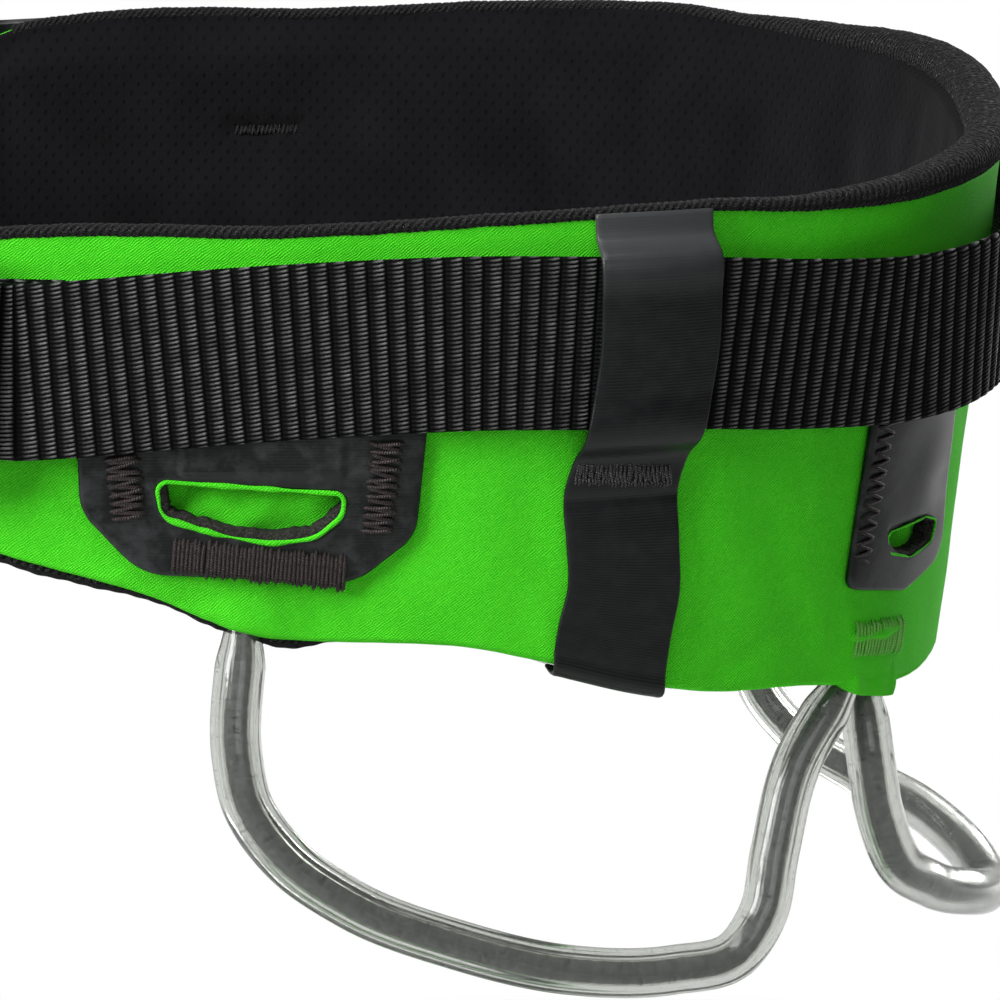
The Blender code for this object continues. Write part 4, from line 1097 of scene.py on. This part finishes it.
def leg_straps(material):
    spot = Spot(LEG, LEG_BUCKLE_S, 0.0)
    up = LEG.up(0.0)
    run = stations(-232.0, 164.0, 9.0)
    lift = 1.4 + 2.1 * np.clip((run - 130.0) / 20.0, 0, 1)
    main = [LEG.point(s, 0.0, out) for s, out in zip(run, lift)] + eye_path(spot, LEG, LEG_BUCKLE_S)
    band = strap("leg_webbing_woven_left", main, [up] * len(main), LEG_WEB_WIDTH, WEB_THICKNESS, 0.5, 11,
                 rib=(WEB_PITCH, 0.4, 0.0))
    both_sides(band, material, "leg_loop_left", "webbing_black", "leg_webbing_left")
    tail_out = Profile((206, 9.4), (222, 7.6), (246, 6.0), (266, 5.6))
    path = [LEG.point(s, 0.0, tail_out(s)) for s in stations(262.0, 214.0, 8.0)]
    path += [spot.point(u, w) for u, w in reversed(DOUBLE_BACK)]
    path += [LEG.point(s, 0.0, 1.6) for s in stations(216.0, LEG.total - 236.0, 10.0)]
    band = strap("leg_front_webbing_left", path, [up] * len(path), LEG_WEB_WIDTH, WEB_THICKNESS, 0.5, 11,
                 rib=(WEB_PITCH, 0.4, 0.0))
    both_sides(band, material, "leg_loop_left", "webbing_black", "leg_front_strap_left")


def strap_keepers(material):
    for kind, ring, s, z, width in (("waist", WAIST, 326.0, -1.8, WAIST_WEB_WIDTH),
                                    ("leg", LEG, 242.0, 0.0, LEG_WEB_WIDTH)):
        half, inner, outer = width / 2 + 2.2, -1.6, 9.2
        corners = outline([(inner, z - half), (outer, z - half), (outer, z + half), (inner, z + half)], [2.4] * 4, 4)
        base, normal, up = ring.point(s, 0.0), ring.normal(s), ring.up(s)
        path = [base + normal * out + up * height for out, height in corners]
        band = strap(f"{kind}_strap_keeper_elastic_left", path, [ring.tangent(s)] * len(path), 10.0, 1.2, 0.5, 9,
                     closed=True, rib=(1.1, 0.14, 0.0))
        both_sides(band, material, f"{kind}_keeper_left", "elastic_black", f"{kind}_strap_keeper_left")


def webbing_keeper(material, thread):
    """Flat laminated tape over the webbing, sewn down below it and folded under the belt's lower edge."""
    stops = np.array(((22.6, 139.3, 1.1), (18.6, 139.2, 1.6), (15.4, 139.1, 5.2), (8.0, 139.0, 5.3), (0.0, 139.1, 5.3),
                      (-8.0, 140.1, 5.3), (-16.0, 141.6, 5.2), (-19.8, 142.6, 1.9), (-25.0, 144.0, 1.1),
                      (-35.0, 143.7, 1.1), (-45.0, 143.3, 1.1), (-54.0, 144.8, 1.1), (-61.0, 145.6, 1.1),
                      (-64.2, 145.7, 0.9), (-64.9, 145.8, -0.4), (-65.1, 145.9, -2.0), (-65.1, 145.9, -5.5)))
    line, at = resample(stops, 0.7)
    half, thickness = 10.2, 1.0
    section = strap_section(2 * half, thickness, 25)
    slope = unit(np.gradient(line[:, (0, 2)], axis=0))
    w, h = section[None, :, 0], section[None, :, 1]
    emboss = 0.12 * np.exp(-(((np.abs(w) - half + 1.7) / 0.35) ** 2)) * np.sign(h)
    crease = -0.25 * np.exp(-(((line[:, :1] + 27.0) / 0.8) ** 2)) * (h > 0)
    h = h - emboss + crease
    over_webbing = step01(line[:, :1], -18, -10) * (1 - step01(line[:, :1], 12, 17))
    bow = 0.35 * np.sin(math.pi * (w / half + 1) / 2) * over_webbing
    z = line[:, :1] + slope[:, 1:] * h
    out = line[:, 2:] - slope[:, :1] * h + bow
    follow = np.clip((-30.0 - line[:, :1]) / 31.0, 0, 1) * (WAIST_BOTTOM(line[:, 1:2] + w) + 63.9)
    points = WAIST.point(line[:, 1:2] + w, z + follow, out)
    weave = np.stack(np.broadcast_arrays(w, at[:, None], h), -1)
    both_sides(tube_piece("webbing_keeper_tape_left", points, weave), material, "waist", "tape_black",
               "webbing_keeper_left")
    stitches = zigzag((135.4, -23.2), (152.6, -21.6), 3.6, 42, 1.75, 0.35, 21, wander=0.25)
    stitches += satin_rows((135.4, -24.9), (152.8, -23.3), 0.9, 30, 1.75, 0.3, 22)
    both_sides(threads("keeper_bar_tack_left", stitches, 0.24), thread, "waist", "webbing_black")


# ---------------------------------------------------------------- stitching and patches


def zigzag(start, end, width, count, base, rise, seed, ring=WAIST, wander=0.12):
    """Stitches from side to side of a line between two (s, z) places."""
    draw = np.random.default_rng(seed)
    start, end = np.array(start, float), np.array(end, float)
    along = end - start
    across = np.array((-along[1], along[0])) / np.hypot(*along) * width / 2
    paths = []
    for i in range(count):
        side = 1 if i % 2 else -1
        shake = draw.uniform(-wander, wander, (2, 2))
        a = start + along * (i / count) + across * side + shake[0]
        b = start + along * ((i + 1) / count) - across * side + shake[1]
        t = np.linspace(0, 1, 9)
        place = a + (b - a) * t[:, None]
        lift = base + rise * np.sin(math.pi * t) ** 0.5 - 0.45 * (np.abs(2 * t - 1) ** 8) + draw.uniform(-0.06, 0.1)
        paths.append(ring.point(place[:, 0], place[:, 1], lift))
    return paths


def satin_rows(start, end, height, count, base, rise, seed):
    """A dense bar tack: stitches side by side, each straight across the line."""
    draw = np.random.default_rng(seed)
    start, end = np.array(start, float), np.array(end, float)
    along = end - start
    across = np.array((-along[1], along[0])) / np.hypot(*along)
    paths = []
    for i in range(count):
        centre = start + along * ((i + 0.5) / count)
        half = height / 2 + draw.uniform(-0.45, 0.45)
        lean = along / count * draw.uniform(-0.1, 0.5)
        t = np.linspace(0, 1, 9)
        place = centre + across * (half * (2 * t[:, None] - 1)) + lean * (t[:, None] - 0.5)
        lift = base + rise * np.sin(math.pi * t) ** 0.35 - 0.5 * (np.abs(2 * t - 1) ** 8) + draw.uniform(-0.05, 0.12)
        paths.append(WAIST.point(place[:, 0], place[:, 1], lift))
    return paths


PATCH_BASE, PATCH_THICKNESS = 0.5, 1.2


def raised_panel(s, z):
    """The stiffener sewn in under the front patch above its slot."""
    return 0.7 * step01(s, 190.8, 192.4) * (1 - step01(s, 218.2, 219.8)) * step01(z, -21.4 - (219 - s) * 0.07, -20.4)


def patch_piece(name, outer, slot, start_outer, start_slot, lift):
    """A patch with a slot, as a closed ring-shaped plate that follows the belt."""
    count, across = 260, 24
    rim = even_outline(outer, count, start_outer)
    hole = even_outline(slot, count, start_slot)
    if inside_distance(np.array([rim.mean(0)[0]]), np.array([rim.mean(0)[1]]), outer)[0] < 0:
        rim = rim[::-1]
    share = np.linspace(0, 1, across)
    top, bottom = PATCH_BASE + PATCH_THICKNESS, PATCH_BASE
    soften = 0.35
    plates = []
    for t in share:
        edge = min(t, 1 - t)
        drop = soften * (1 - min(1.0, edge * across / 1.5)) ** 2
        plates.append((t, top - drop))
    plates += [(t, bottom) for t in share[::-1]]
    sections = []
    for t, out in plates:
        flat = hole + (rim - hole) * t
        sections.append(np.concatenate((flat, np.full((count, 1), out)), axis=1))
    grid = np.stack(sections, axis=1)
    raised = lift(grid[..., 0], grid[..., 1]) + 0.12 * ripples(grid[..., 0], grid[..., 1], 17) / 0.1
    points = WAIST.point(grid[..., 0], grid[..., 1], grid[..., 2] + raised * (grid[..., 2] > bottom + 0.1))
    return tube_piece(name, points, grid, close_rows=True)


def ring_tube(name, loop, base, radius, columns, wander, seed, squash=1.0):
    """A soft round edge along a closed (s, z) outline."""
    draw = np.random.default_rng(seed)
    count = len(loop)
    turns = np.linspace(0, 2 * math.pi, columns, endpoint=False)
    along = unit(np.roll(loop, -1, axis=0) - np.roll(loop, 1, axis=0))
    side = np.stack((-along[:, 1], along[:, 0]), -1)
    angle = np.linspace(0, 2 * math.pi, count, endpoint=False)
    size = np.ones(count)
    for wave in range(3, 14):
        size = size + wander * math.exp(-wave / 9) * np.sin(wave * angle + draw.uniform(0, 2 * math.pi))
    reach = radius * size[:, None]
    flat = loop[:, None] + side[:, None] * (reach * np.cos(turns))[..., None]
    out = base + reach * squash * np.sin(turns)
    points = WAIST.point(flat[..., 0], flat[..., 1], out)
    weave = np.stack(np.broadcast_arrays(flat[..., 0], flat[..., 1], out), -1)
    return tube_piece(name, points, weave, close_rows=True)


def slot_wall(name, loop, top, bottom, lean):
    """The cut edge of the foam inside a slot, thicker along its lower side and its front end."""
    draw = np.random.default_rng(15)
    centre = loop.mean(0)
    along = unit(np.roll(loop, -1, axis=0) - np.roll(loop, 1, axis=0))
    inward = np.stack((-along[:, 1], along[:, 0]), -1)
    inward *= np.sign(np.sum(inward * (centre - loop), -1, keepdims=True))
    low_side = step01(-(loop[:, 1] - centre[1]), -1.5, 1.5)
    front_end = step01(loop[:, 0], loop[:, 0].max() - 2.5, loop[:, 0].max())
    angle = np.linspace(0, 2 * math.pi, len(loop), endpoint=False)
    fray = sum(np.sin(k * angle + draw.uniform(0, 6)) for k in range(9, 40, 3)) * 0.035
    width = 0.3 + lean * np.maximum(low_side, front_end) + fray
    sections = []
    course = ((0.0, top), (0.3, top + 0.05), (0.75, top - 0.2), (1.0, top - 0.8), (1.05, bottom), (-0.2, bottom))
    for share, depth in course:
        flat = loop + inward * (width * share)[:, None]
        sections.append(np.concatenate((flat, np.full((len(loop), 1), depth)), axis=1))
    grid = np.stack(sections, axis=1)
    return tube_piece(name, WAIST.point(grid[..., 0], grid[..., 1], grid[..., 2]), grid, close_rows=True)


def slot_floor(name, loop, depth, seed):
    """Shell fabric at the bottom of a slot's pocket, pulled deeper along its top."""
    (s_low, z_low), (s_high, z_high) = loop.min(0) - 0.9, loop.max(0) + 0.9
    s, z = np.meshgrid(np.arange(s_low, s_high, 0.4), np.arange(z_low, z_high, 0.4), indexing="ij")
    pull = 0.5 * step01((z - z_low) / (z_high - z_low), 0.45, 1.0)
    out = depth - pull + 4 * ripples(s * 2.2, z * 2.2, seed) + 0.25 * np.sin(s * 0.7 + z * 0.4)
    grid = np.stack((s, z, out), -1)
    return slab_piece(name, WAIST.point(s, z, out), grid, 0.5, slab_side(WAIST, s, z, out))


def slab_side(ring, s, z, out):
    """1 if a grid's own normals point away from the body, else -1."""
    normals = surface_normals(ring.point(s, z, out))
    return 1.0 if np.mean(np.sum(normals * ring.normal(s), -1)) > 0 else -1.0


def clipper_patches(tape, fabric, foam_material, thread):
    for name, outer, slot, starts, lift in (
        ("front", FRONT_PATCH, FRONT_SLOT, ((236.0, -14.0), (222.0, -23.0)), raised_panel),
        ("rear", REAR_PATCH, REAR_SLOT, ((92.0, -16.0), (85.4, -41.4)), lambda s, z: 0.0 * s),
    ):
        plate = patch_piece(f"{name}_clipper_tape_left", outer, slot, *starts, lift)
        both_sides(plate, tape, "waist", "tape_black", f"{name}_clipper_patch_left")
        loop = even_outline(slot, 300, starts[1])
        rim = ring_tube(f"{name}_slot_piping_left", loop, 1.62, 0.42 if name == "front" else 0.2, 10, 0.2, 5)
        both_sides(rim, fabric, "waist", "shell_green")
        wall = slot_wall(f"{name}_slot_foam_edge_left", loop, 1.35, -3.0, 1.2 if name == "front" else 0.8)
        both_sides(wall, foam_material, "waist", "foam_grey")
        floor = slot_floor(f"{name}_slot_pocket_left", loop, -1.7, 23)
        both_sides(floor, fabric, "waist", "shell_green")
    for name, stitches, radius in (
        ("front_zigzag_front", zigzag((228.9, -17.4), (227.8, -28.4), 6.0, 15, 1.85, 0.55, 31, wander=0.35), 0.4),
        ("front_zigzag_rear", zigzag((184.4, -15.4), (186.2, -31.4), 5.4, 21, 1.85, 0.55, 32, wander=0.35), 0.4),
        ("front_bar_tack", satin_rows((220.6, -34.7), (191.5, -38.1), 6.4, 42, 1.9, 0.7, 33), 0.43),
        ("rear_zigzag", zigzag((88.6, -17.5), (93.2, -45.2), 4.6, 24, 1.8, 0.4, 34), 0.3),
    ):
        both_sides(threads(f"{name}_left", stitches, radius), thread, "waist", "webbing_black")


def gear_tab(fabric, thread):
    """Short tab of shell fabric sewn over the ends of the gear loops."""
    first, last = GEAR_TAB_S - GEAR_TAB_HALF, GEAR_TAB_S + GEAR_TAB_HALF
    s, v = np.meshgrid(np.linspace(first, last, 60), np.linspace(0, 1, 50), indexing="ij")
    corner = 2.6 * (np.abs(s - GEAR_TAB_S) / GEAR_TAB_HALF) ** 5
    bottom = WAIST_BOTTOM(s) - 1.3 + 0.03 * (s - 84) + corner
    z = bottom + (-55.5 - bottom) * v
    quilt = -0.5 * step01(v, 0.25, 0.4) * (1 - step01(v, 0.6, 0.72)) * step01(s, 74, 77) * (1 - step01(s, 91, 94))
    fold = 0.55 * np.exp(-(((v - 0.72) / 0.06) ** 2)) + 0.9 * np.exp(-(((v - 0.1) / 0.16) ** 2))
    rise = step01(np.minimum(s - first, last - s), 0.0, 5.0) * (1 - step01(v, 0.7, 1.0))
    out = -1.0 + 1.9 * rise + quilt + fold * rise + 2 * ripples(s * 2, z * 2, 29)
    grid = np.stack((s, z, out), -1)
    tab = slab_piece("gear_tab_left", WAIST.point(s, z, out), grid, 0.9, slab_side(WAIST, s, z, out))
    both_sides(tab, fabric, "waist", "shell_green")
    stitches = satin_rows((92.3, -59.8), (74.3, -62.4), 6.6, 17, 0.55, 0.55, 41)
    both_sides(threads("gear_tab_bar_tack_left", stitches, 0.3), thread, "waist", "shell_green")


def lining_bar_tack(thread):
    s0, z0 = INNER_TACK
    paths = zigzag((s0 - 6.5, z0 - 0.4), (s0 + 6.5, z0 - 0.6), 1.9, 30, -(PAD_THICKNESS - 1.6), -0.3, 51)
    both_sides(threads("lining_bar_tack_left", paths, 0.26), thread, "waist", "webbing_black")


# ---------------------------------------------------------------- gear loops


GEAR_FRONT, GEAR_REAR, GEAR_BACK, GEAR_DEPTH = (209.2, -50.8), (91.3, -70.4), (81.0, -73.4), -2.8
SIDE_LOOP = ((0.0, 0.0), (1.0, 19.5), (3.6, 27.5), (10.5, 35.5), (24.0, 43.2), (44.0, 48.8), (66.0, 51.9),
             (86.0, 50.6), (97.5, 47.2), (102.0, 40.0), (103.3, 29.0), (106.0, 13.0), (112.5, 0.0))
SIDE_LOOP_TILT = math.radians(12.0)
REAR_LOOP = ((75.0, 116.0, -84.0), (72.0, 118.0, -95.0), (67.5, 121.6, -105.0), (57.0, 128.2, -112.5),
             (38.0, 137.4, -120.0), (10.0, 142.5, -127.0), (-20.0, 140.4, -128.6), (-45.0, 133.2, -128.2),
             (-66.0, 122.5, -127.5), (-78.0, 110.0, -122.0), (-80.5, 102.5, -112.0), (-79.5, 103.5, -98.0),
             (-76.5, 109.0, -85.0))
SEWN_RUN = 6.0  # of each tube's end inside the belt, above its hinge line


def trim(path, cut):
    length = np.concatenate(([0.0], np.cumsum(np.linalg.norm(np.diff(path, axis=0), axis=1))))
    at = np.linspace(cut, length[-1] - cut, round((length[-1] - 2 * cut) / 1.2))
    return np.stack([np.interp(at, length, path[:, k]) for k in range(3)], -1), at


def tube_and_cord(name, controls):
    """Clear hose with a cord in it; both run on into the belt at each end, pinched flatter there."""
    controls = np.array(controls)
    ends = [controls[0] + unit(controls[0] - controls[1]) * SEWN_RUN,
            controls[-1] + unit(controls[-1] - controls[-2]) * SEWN_RUN]
    fine, _ = resample([ends[0], *controls, ends[1]], 0.8)
    path, at = trim(fine, 0.5)
    to_end = np.minimum(at, at[-1] + at[0] - at)
    pinch = 0.72 + 0.28 * step01(to_end, 3.0, 11.0)

    def hose(radius, columns, uneven=0.0):
        def radius_of(angles):
            waves = uneven * (np.sin(2.8 * at[:, None]) + np.sin(1.7 * at[:, None] + 3 * angles[None, :]))
            return radius * pinch[:, None] * np.ones_like(angles)[None, :] + waves
        return round_sections(path, radius, columns, radius_of)

    outer, turns = hose(TUBE_RADIUS, 40)
    bore, _ = hose(TUBE_BORE, 40)
    sections = np.concatenate((outer, bore[::-1]))
    places = np.broadcast_arrays(np.concatenate((at, at[::-1]))[:, None], turns[None, :], 0.0)
    wall = tube_piece(f"{name}_hose", sections, np.stack(places, -1), close_rows=True)
    points, turns = hose(CORE_RADIUS, 20, 0.05)
    places = np.broadcast_arrays(at[:, None], turns[None, :], 0.0)
    core = tube_piece(f"{name}_cord", points, np.stack(places, -1))
    return wall, core


def swing_blend(piece, material, slot, body, joint, down, *replaced):
    """For a piece sewn into the belt above its hinge line that swings below it: adds its material, bakes its place
    into its points and hides the parts it replaces.
    """
    piece.data.materials.append(material)
    axis = unit(np.array(JOINTS[joint]["axis"], float))
    down = unit(down - axis * np.dot(down, axis))
    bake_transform(piece)
    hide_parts(*replaced)


def gear_loops(tube, cord):
    front, rear = WAIST.point(*GEAR_FRONT, GEAR_DEPTH), WAIST.point(*GEAR_REAR, GEAR_DEPTH)
    along = unit(rear - front)
    down = np.array((0.0, 0.0, -1.0))
    down = unit(down - along * np.dot(down, along))
    out = np.cross(down, along)
    out = out if out[0] > 0 else -out
    down = down * math.cos(SIDE_LOOP_TILT) + out * math.sin(SIDE_LOOP_TILT)
    reach = np.linalg.norm(rear - front) / SIDE_LOOP[-1][0]
    controls = [front + along * u * reach + down * v for u, v in SIDE_LOOP]
    for piece, material, slot, kind in zip(tube_and_cord("gear_loop_left", controls), (tube, cord),
                                           ("tube_clear", "core_grey"), ("", "_core")):
        other = mirrored(piece, piece.name.replace("left", "right"))
        for made, side, turn in ((piece, "left", (1, 1, 1)), (other, "right", (-1, 1, 1))):
            other.data.materials.clear()
            body = f"gear_loop_{side}"
            swing_blend(made, material, slot, body, f"{body}_swing", down * turn, f"{body}{kind}")
    left = WAIST.point(*GEAR_BACK, GEAR_DEPTH)
    controls = [left, *[np.array(p) for p in REAR_LOOP], left * (-1, 1, 1)]
    for piece, material, slot, kind in zip(tube_and_cord("gear_loop_rear", controls), (tube, cord),
                                           ("tube_clear", "core_grey"), ("", "_core")):
        swing_blend(piece, material, slot, "gear_loop_rear", "gear_loop_rear_swing", np.array((0.0, 0.1, -1.0)),
                    f"gear_loop_rear{kind}")


# ---------------------------------------------------------------- loops, bridge and risers


def stadium(top, radius, drop, steps=12):
    turns = np.linspace(0, math.pi, steps + 1)
    upper = [top + np.array((0, radius * math.cos(a), radius * math.sin(a))) for a in turns]
    front = [top + np.array((0, -radius, -drop * k / 5)) for k in range(1, 5)]
    lower = [top + np.array((0, radius * math.cos(a + math.pi), -drop + radius * math.sin(a + math.pi)))
             for a in turns]
    back = [top + np.array((0, radius, -drop * (1 - k / 5))) for k in range(1, 5)]
    return upper + front + lower + back


def belay_and_tie_in(material):
    half = [WAIST.point(s, 0.0, 5.6) for s in (370.0, 378.0)]
    half += [np.array(p) for p in ((26.0, -123.0, 0), (22.5, -128.6, 0), (18.5, -131.4, 0), (14.0, TIE_IN_Y, 0))]
    path = half + flip_x(half[::-1])
    band = strap("upper_tie_in_woven", path, [np.array((0, 0, 1.0))] * len(path), 13.0, 3.0, 0.6, 11, rib=(1.6, 0.25, 0))
    finish_piece(band, material, "waist", "webbing_black", "upper_tie_in")
    path = stadium(np.array((0, TIE_IN_Y, 0)), 8.0 + 2.25, BELAY_DROP)
    band = strap("belay_loop_woven", path, [np.array((1.0, 0, 0))] * len(path), 16.0, 4.5, 0.6, 13, closed=True,
                 rib=(1.6, 0.3, 0))
    finish_piece(band, material, "belay_loop", "webbing_black", "belay_loop")


BRIDGE_HINGE = np.array((37.6, -89.5, -186.0))


def leg_bridge(material):
    """The lower tie-in webbing, one continuous strap on each side from the middle down to the leg loop."""
    low = -BELAY_DROP
    half = [np.array(p) for p in ((0, TIE_IN_Y, low), (11.0, TIE_IN_Y, low), (17.0, -131.0, low - 1.6),
                                  (22.5, -129.2, low - 6.0), (26.5, -126.4, low - 13.5), (29.5, -121.0, low - 30.0),
                                  (34.5, -103.0, -152.0))]
    half += [BRIDGE_HINGE] + [LEG.point(-212.0, z, out) for z, out in ((18.0, 4.6), (0.0, 4.2), (-11.0, 4.2))]
    outward = LEG.normal(-212.0)
    facing = [(0, -1, 0)] * 4 + [(0, -1, -0.2), (-0.1, -1, -0.25), (-0.35, -1, -0.4), (-0.5, -1, -0.4)] + [outward] * 3
    half, facing = np.array(half), unit(np.array(facing, float))
    along = unit(np.gradient(half, axis=0))
    across = np.cross(facing, along)
    band = strap("leg_bridge_woven_left", half, across, 13.0, 2.6, 0.6, 11, rib=(1.6, 0.25, 0))
    right = mirrored(band, "leg_bridge_woven_right")
    for side, piece in ((1, band), (-1, right)):
        name = "left" if side > 0 else "right"
        piece.data.materials.append(material)
        run = np.array((side * 0.2, 0.75, -0.9))
        run = run / np.linalg.norm(run) * 9 * MM
        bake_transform(piece)
        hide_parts("leg_bridge", f"bridge_end_{name}")


def rear_risers(material):
    back = LEG.point(0.0, 0.0)
    centre = back + np.array((0, 9.3, -64.0))
    turn = 2.3
    path = [LEG.point(0.0, 24.0, 1.1), LEG.point(0.0, 12.0, 3.8), back + (0, 5.6, -2.0), back + (0, 6.6, -22.0),
            centre + (0, -turn, 6.0), centre + (0, -turn, 1.2), centre + (0, -turn * 0.7, 0.0), centre + (0, 0, -0.3),
            centre + (0, turn * 0.7, 0.0), centre + (0, turn, 1.2), centre + (0, turn, 15.0)]
    band = strap("rear_riser_elastic_left", path, [np.array((1.0, 0, 0))] * len(path), 12.0, 1.3, 0.4, 9,
                 rib=(1.1, 0.14, 0.0))
    both_sides(band, material, "riser_left", "elastic_black", "rear_riser_left")


def cad_parts(metal, plastic):
    """Moulded and stamped parts keep their CAD shape, with softened edges."""
    for name, node in frame["nodes"].items():
        if "buckle" in name or "hook" in name:
            weld = node.modifiers.new("Weld", "WELD")
            weld.merge_threshold = 1e-5
            bevel = node.modifiers.new("Bevel", "BEVEL")
            bevel.width = 0.45 * MM
            bevel.segments = 3
            bevel.limit_method = "ANGLE"
            bevel.angle_limit = math.radians(40)
            finish = plastic if "hook" in name else metal
            for slot in node.material_slots:
                slot.material = finish
            if not node.material_slots:
                node.data.materials.append(finish)


# ---------------------------------------------------------------- studio


LIGHTS = (  # name, place and size in metres from the ring's centre, power in watts
    ("key", (0.75, -0.95, 0.55), (0.45, 0.7), 17.0),
    ("top", (0.45, -0.1, 0.95), (0.7, 0.5), 6.5),
    ("fill", (1.3, 0.35, 0.35), (0.6, 0.6), 1.6),
    ("back", (-1.3, 0.8, 0.2), (0.8, 0.6), 14.0),
)
WORLD_STRENGTH = 0.08
LIGHT_TARGET = (0.05, 0.03, -0.03)
CAMERA_PLACE, CAMERA_AIM = (1.0914, 0.0492, 0.2118), (0.0080, 0.0500, -0.0526)
CAMERA_LENS, CAMERA_SENSOR = 213.9, 36.0  # millimetres
FLOOR_REACH, FLOOR_DROP = 30.0, 0.004  # metres; the drop keeps the floor clear of the object


def area_light(name, place, size, power, target):
    light = bpy.data.lights.new(name, "AREA")
    light.shape = "RECTANGLE"
    light.size, light.size_y = size
    light.energy = power
    made = bpy.data.objects.new(name, light)
    made.location = Vector(place) - Vector(ORIGIN * MM)
    aim = Vector(target) - Vector(place)
    made.rotation_euler = aim.to_track_quat("-Z", "Y").to_euler()
    bpy.context.scene.collection.objects.link(made)


def studio_world():
    """White where the camera sees it, and only a dim glow as light on the object."""
    world = bpy.data.worlds.new("studio_world")
    bpy.context.scene.world = world
    world.use_nodes = True
    tree = world.node_tree
    background = tree.nodes["Background"]
    background.inputs["Color"].default_value = (1.0, 1.0, 1.0, 1.0)
    rays = tree.nodes.new("ShaderNodeLightPath")
    seen = tree.nodes.new("ShaderNodeMath")
    seen.operation = "MAXIMUM"
    tree.links.new(rays.outputs["Is Camera Ray"], seen.inputs[0])
    tree.links.new(rays.outputs["Is Transmission Ray"], seen.inputs[1])
    strength = tree.nodes.new("ShaderNodeMapRange")
    strength.inputs["To Min"].default_value = WORLD_STRENGTH
    strength.inputs["To Max"].default_value = 1.0
    tree.links.new(seen.outputs["Value"], strength.inputs["Value"])
    tree.links.new(strength.outputs["Result"], background.inputs["Strength"])


def studio():
    floor_mesh = bpy.data.meshes.new("floor")
    reach, level = FLOOR_REACH, CAD_BOUNDS[0].z - FLOOR_DROP
    corners = [(-reach, -reach, level), (reach, -reach, level), (reach, reach, level), (-reach, reach, level)]
    floor_mesh.from_pydata(corners, [], [(0, 1, 2, 3)])
    floor = bpy.data.objects.new("floor", floor_mesh)
    floor_mesh.materials.append(studio_floor())
    bpy.context.scene.collection.objects.link(floor)
    studio_world()
    for name, place, size, power in LIGHTS:
        area_light(name, place, size, power, LIGHT_TARGET)
    camera_data = bpy.data.cameras.new("camera")
    camera_data.lens = CAMERA_LENS
    camera_data.sensor_width = CAMERA_SENSOR
    camera_data.clip_end = 100.0
    camera = bpy.data.objects.new("camera", camera_data)
    shift = Vector(ORIGIN * MM)
    camera.location = Vector(CAMERA_PLACE) - shift
    aim = Vector(CAMERA_AIM) - shift
    camera.rotation_euler = (aim - camera.location).to_track_quat("-Z", "Y").to_euler()
    bpy.context.scene.collection.objects.link(camera)
    bpy.context.scene.camera = camera
    bpy.context.scene.view_settings.view_transform = "Standard"
    bpy.context.scene.view_settings.look = "None"


def main():
    fabric, mesh, foam = green_fabric(), spacer_mesh(), cut_foam()
    ladder = webbing("ladder_webbing", WEB_PITCH)
    plain = plain_webbing("plain_webbing")
    elastic = plain_webbing("elastic_tape", (0.022, 0.022, 0.024))
    keeper_tape = satin_tape("keeper_tape", (0.0035, 0.0042, 0.0046), (0.0085, 0.010, 0.0105), KEEPER_HIGHLIGHT)
    patch_tape = satin_tape("patch_tape", (0.006, 0.0073, 0.0073), (0.034, 0.039, 0.039))
    # The second colour of each thread is its painted highlight on the twist's crests.
    thread = thread_material("brown_thread", (0.006, 0.0035, 0.0035), (0.15, 0.095, 0.098))
    black_thread = thread_material("black_thread", (0.004, 0.004, 0.0045), (0.32, 0.32, 0.32))
    lining_thread = thread_material("lining_thread", (0.0015, 0.0015, 0.0018), (0.014, 0.014, 0.015))
    green_thread = thread_material("green_thread", (0.12, 0.6, 0.05), (0.65, 0.97, 0.32))
    tube, cord = clear_tube(), cord_core()
    waist_padding(fabric, mesh, foam)
    leg_padding(fabric, mesh, foam)
    knit = knit_binding()
    waist_binding(knit)
    lower_binding(knit)
    waist_webbing(ladder)
    waist_front_strap(ladder)
    leg_straps(ladder)
    strap_keepers(elastic)
    webbing_keeper(keeper_tape, black_thread)
    clipper_patches(patch_tape, fabric, foam, thread)
    gear_tab(fabric, green_thread)
    lining_bar_tack(lining_thread)
    gear_loops(tube, cord)
    belay_and_tie_in(plain)
    leg_bridge(plain)
    rear_risers(elastic)
    cad_parts(anodised_metal(), moulded_plastic())
    studio()


main()
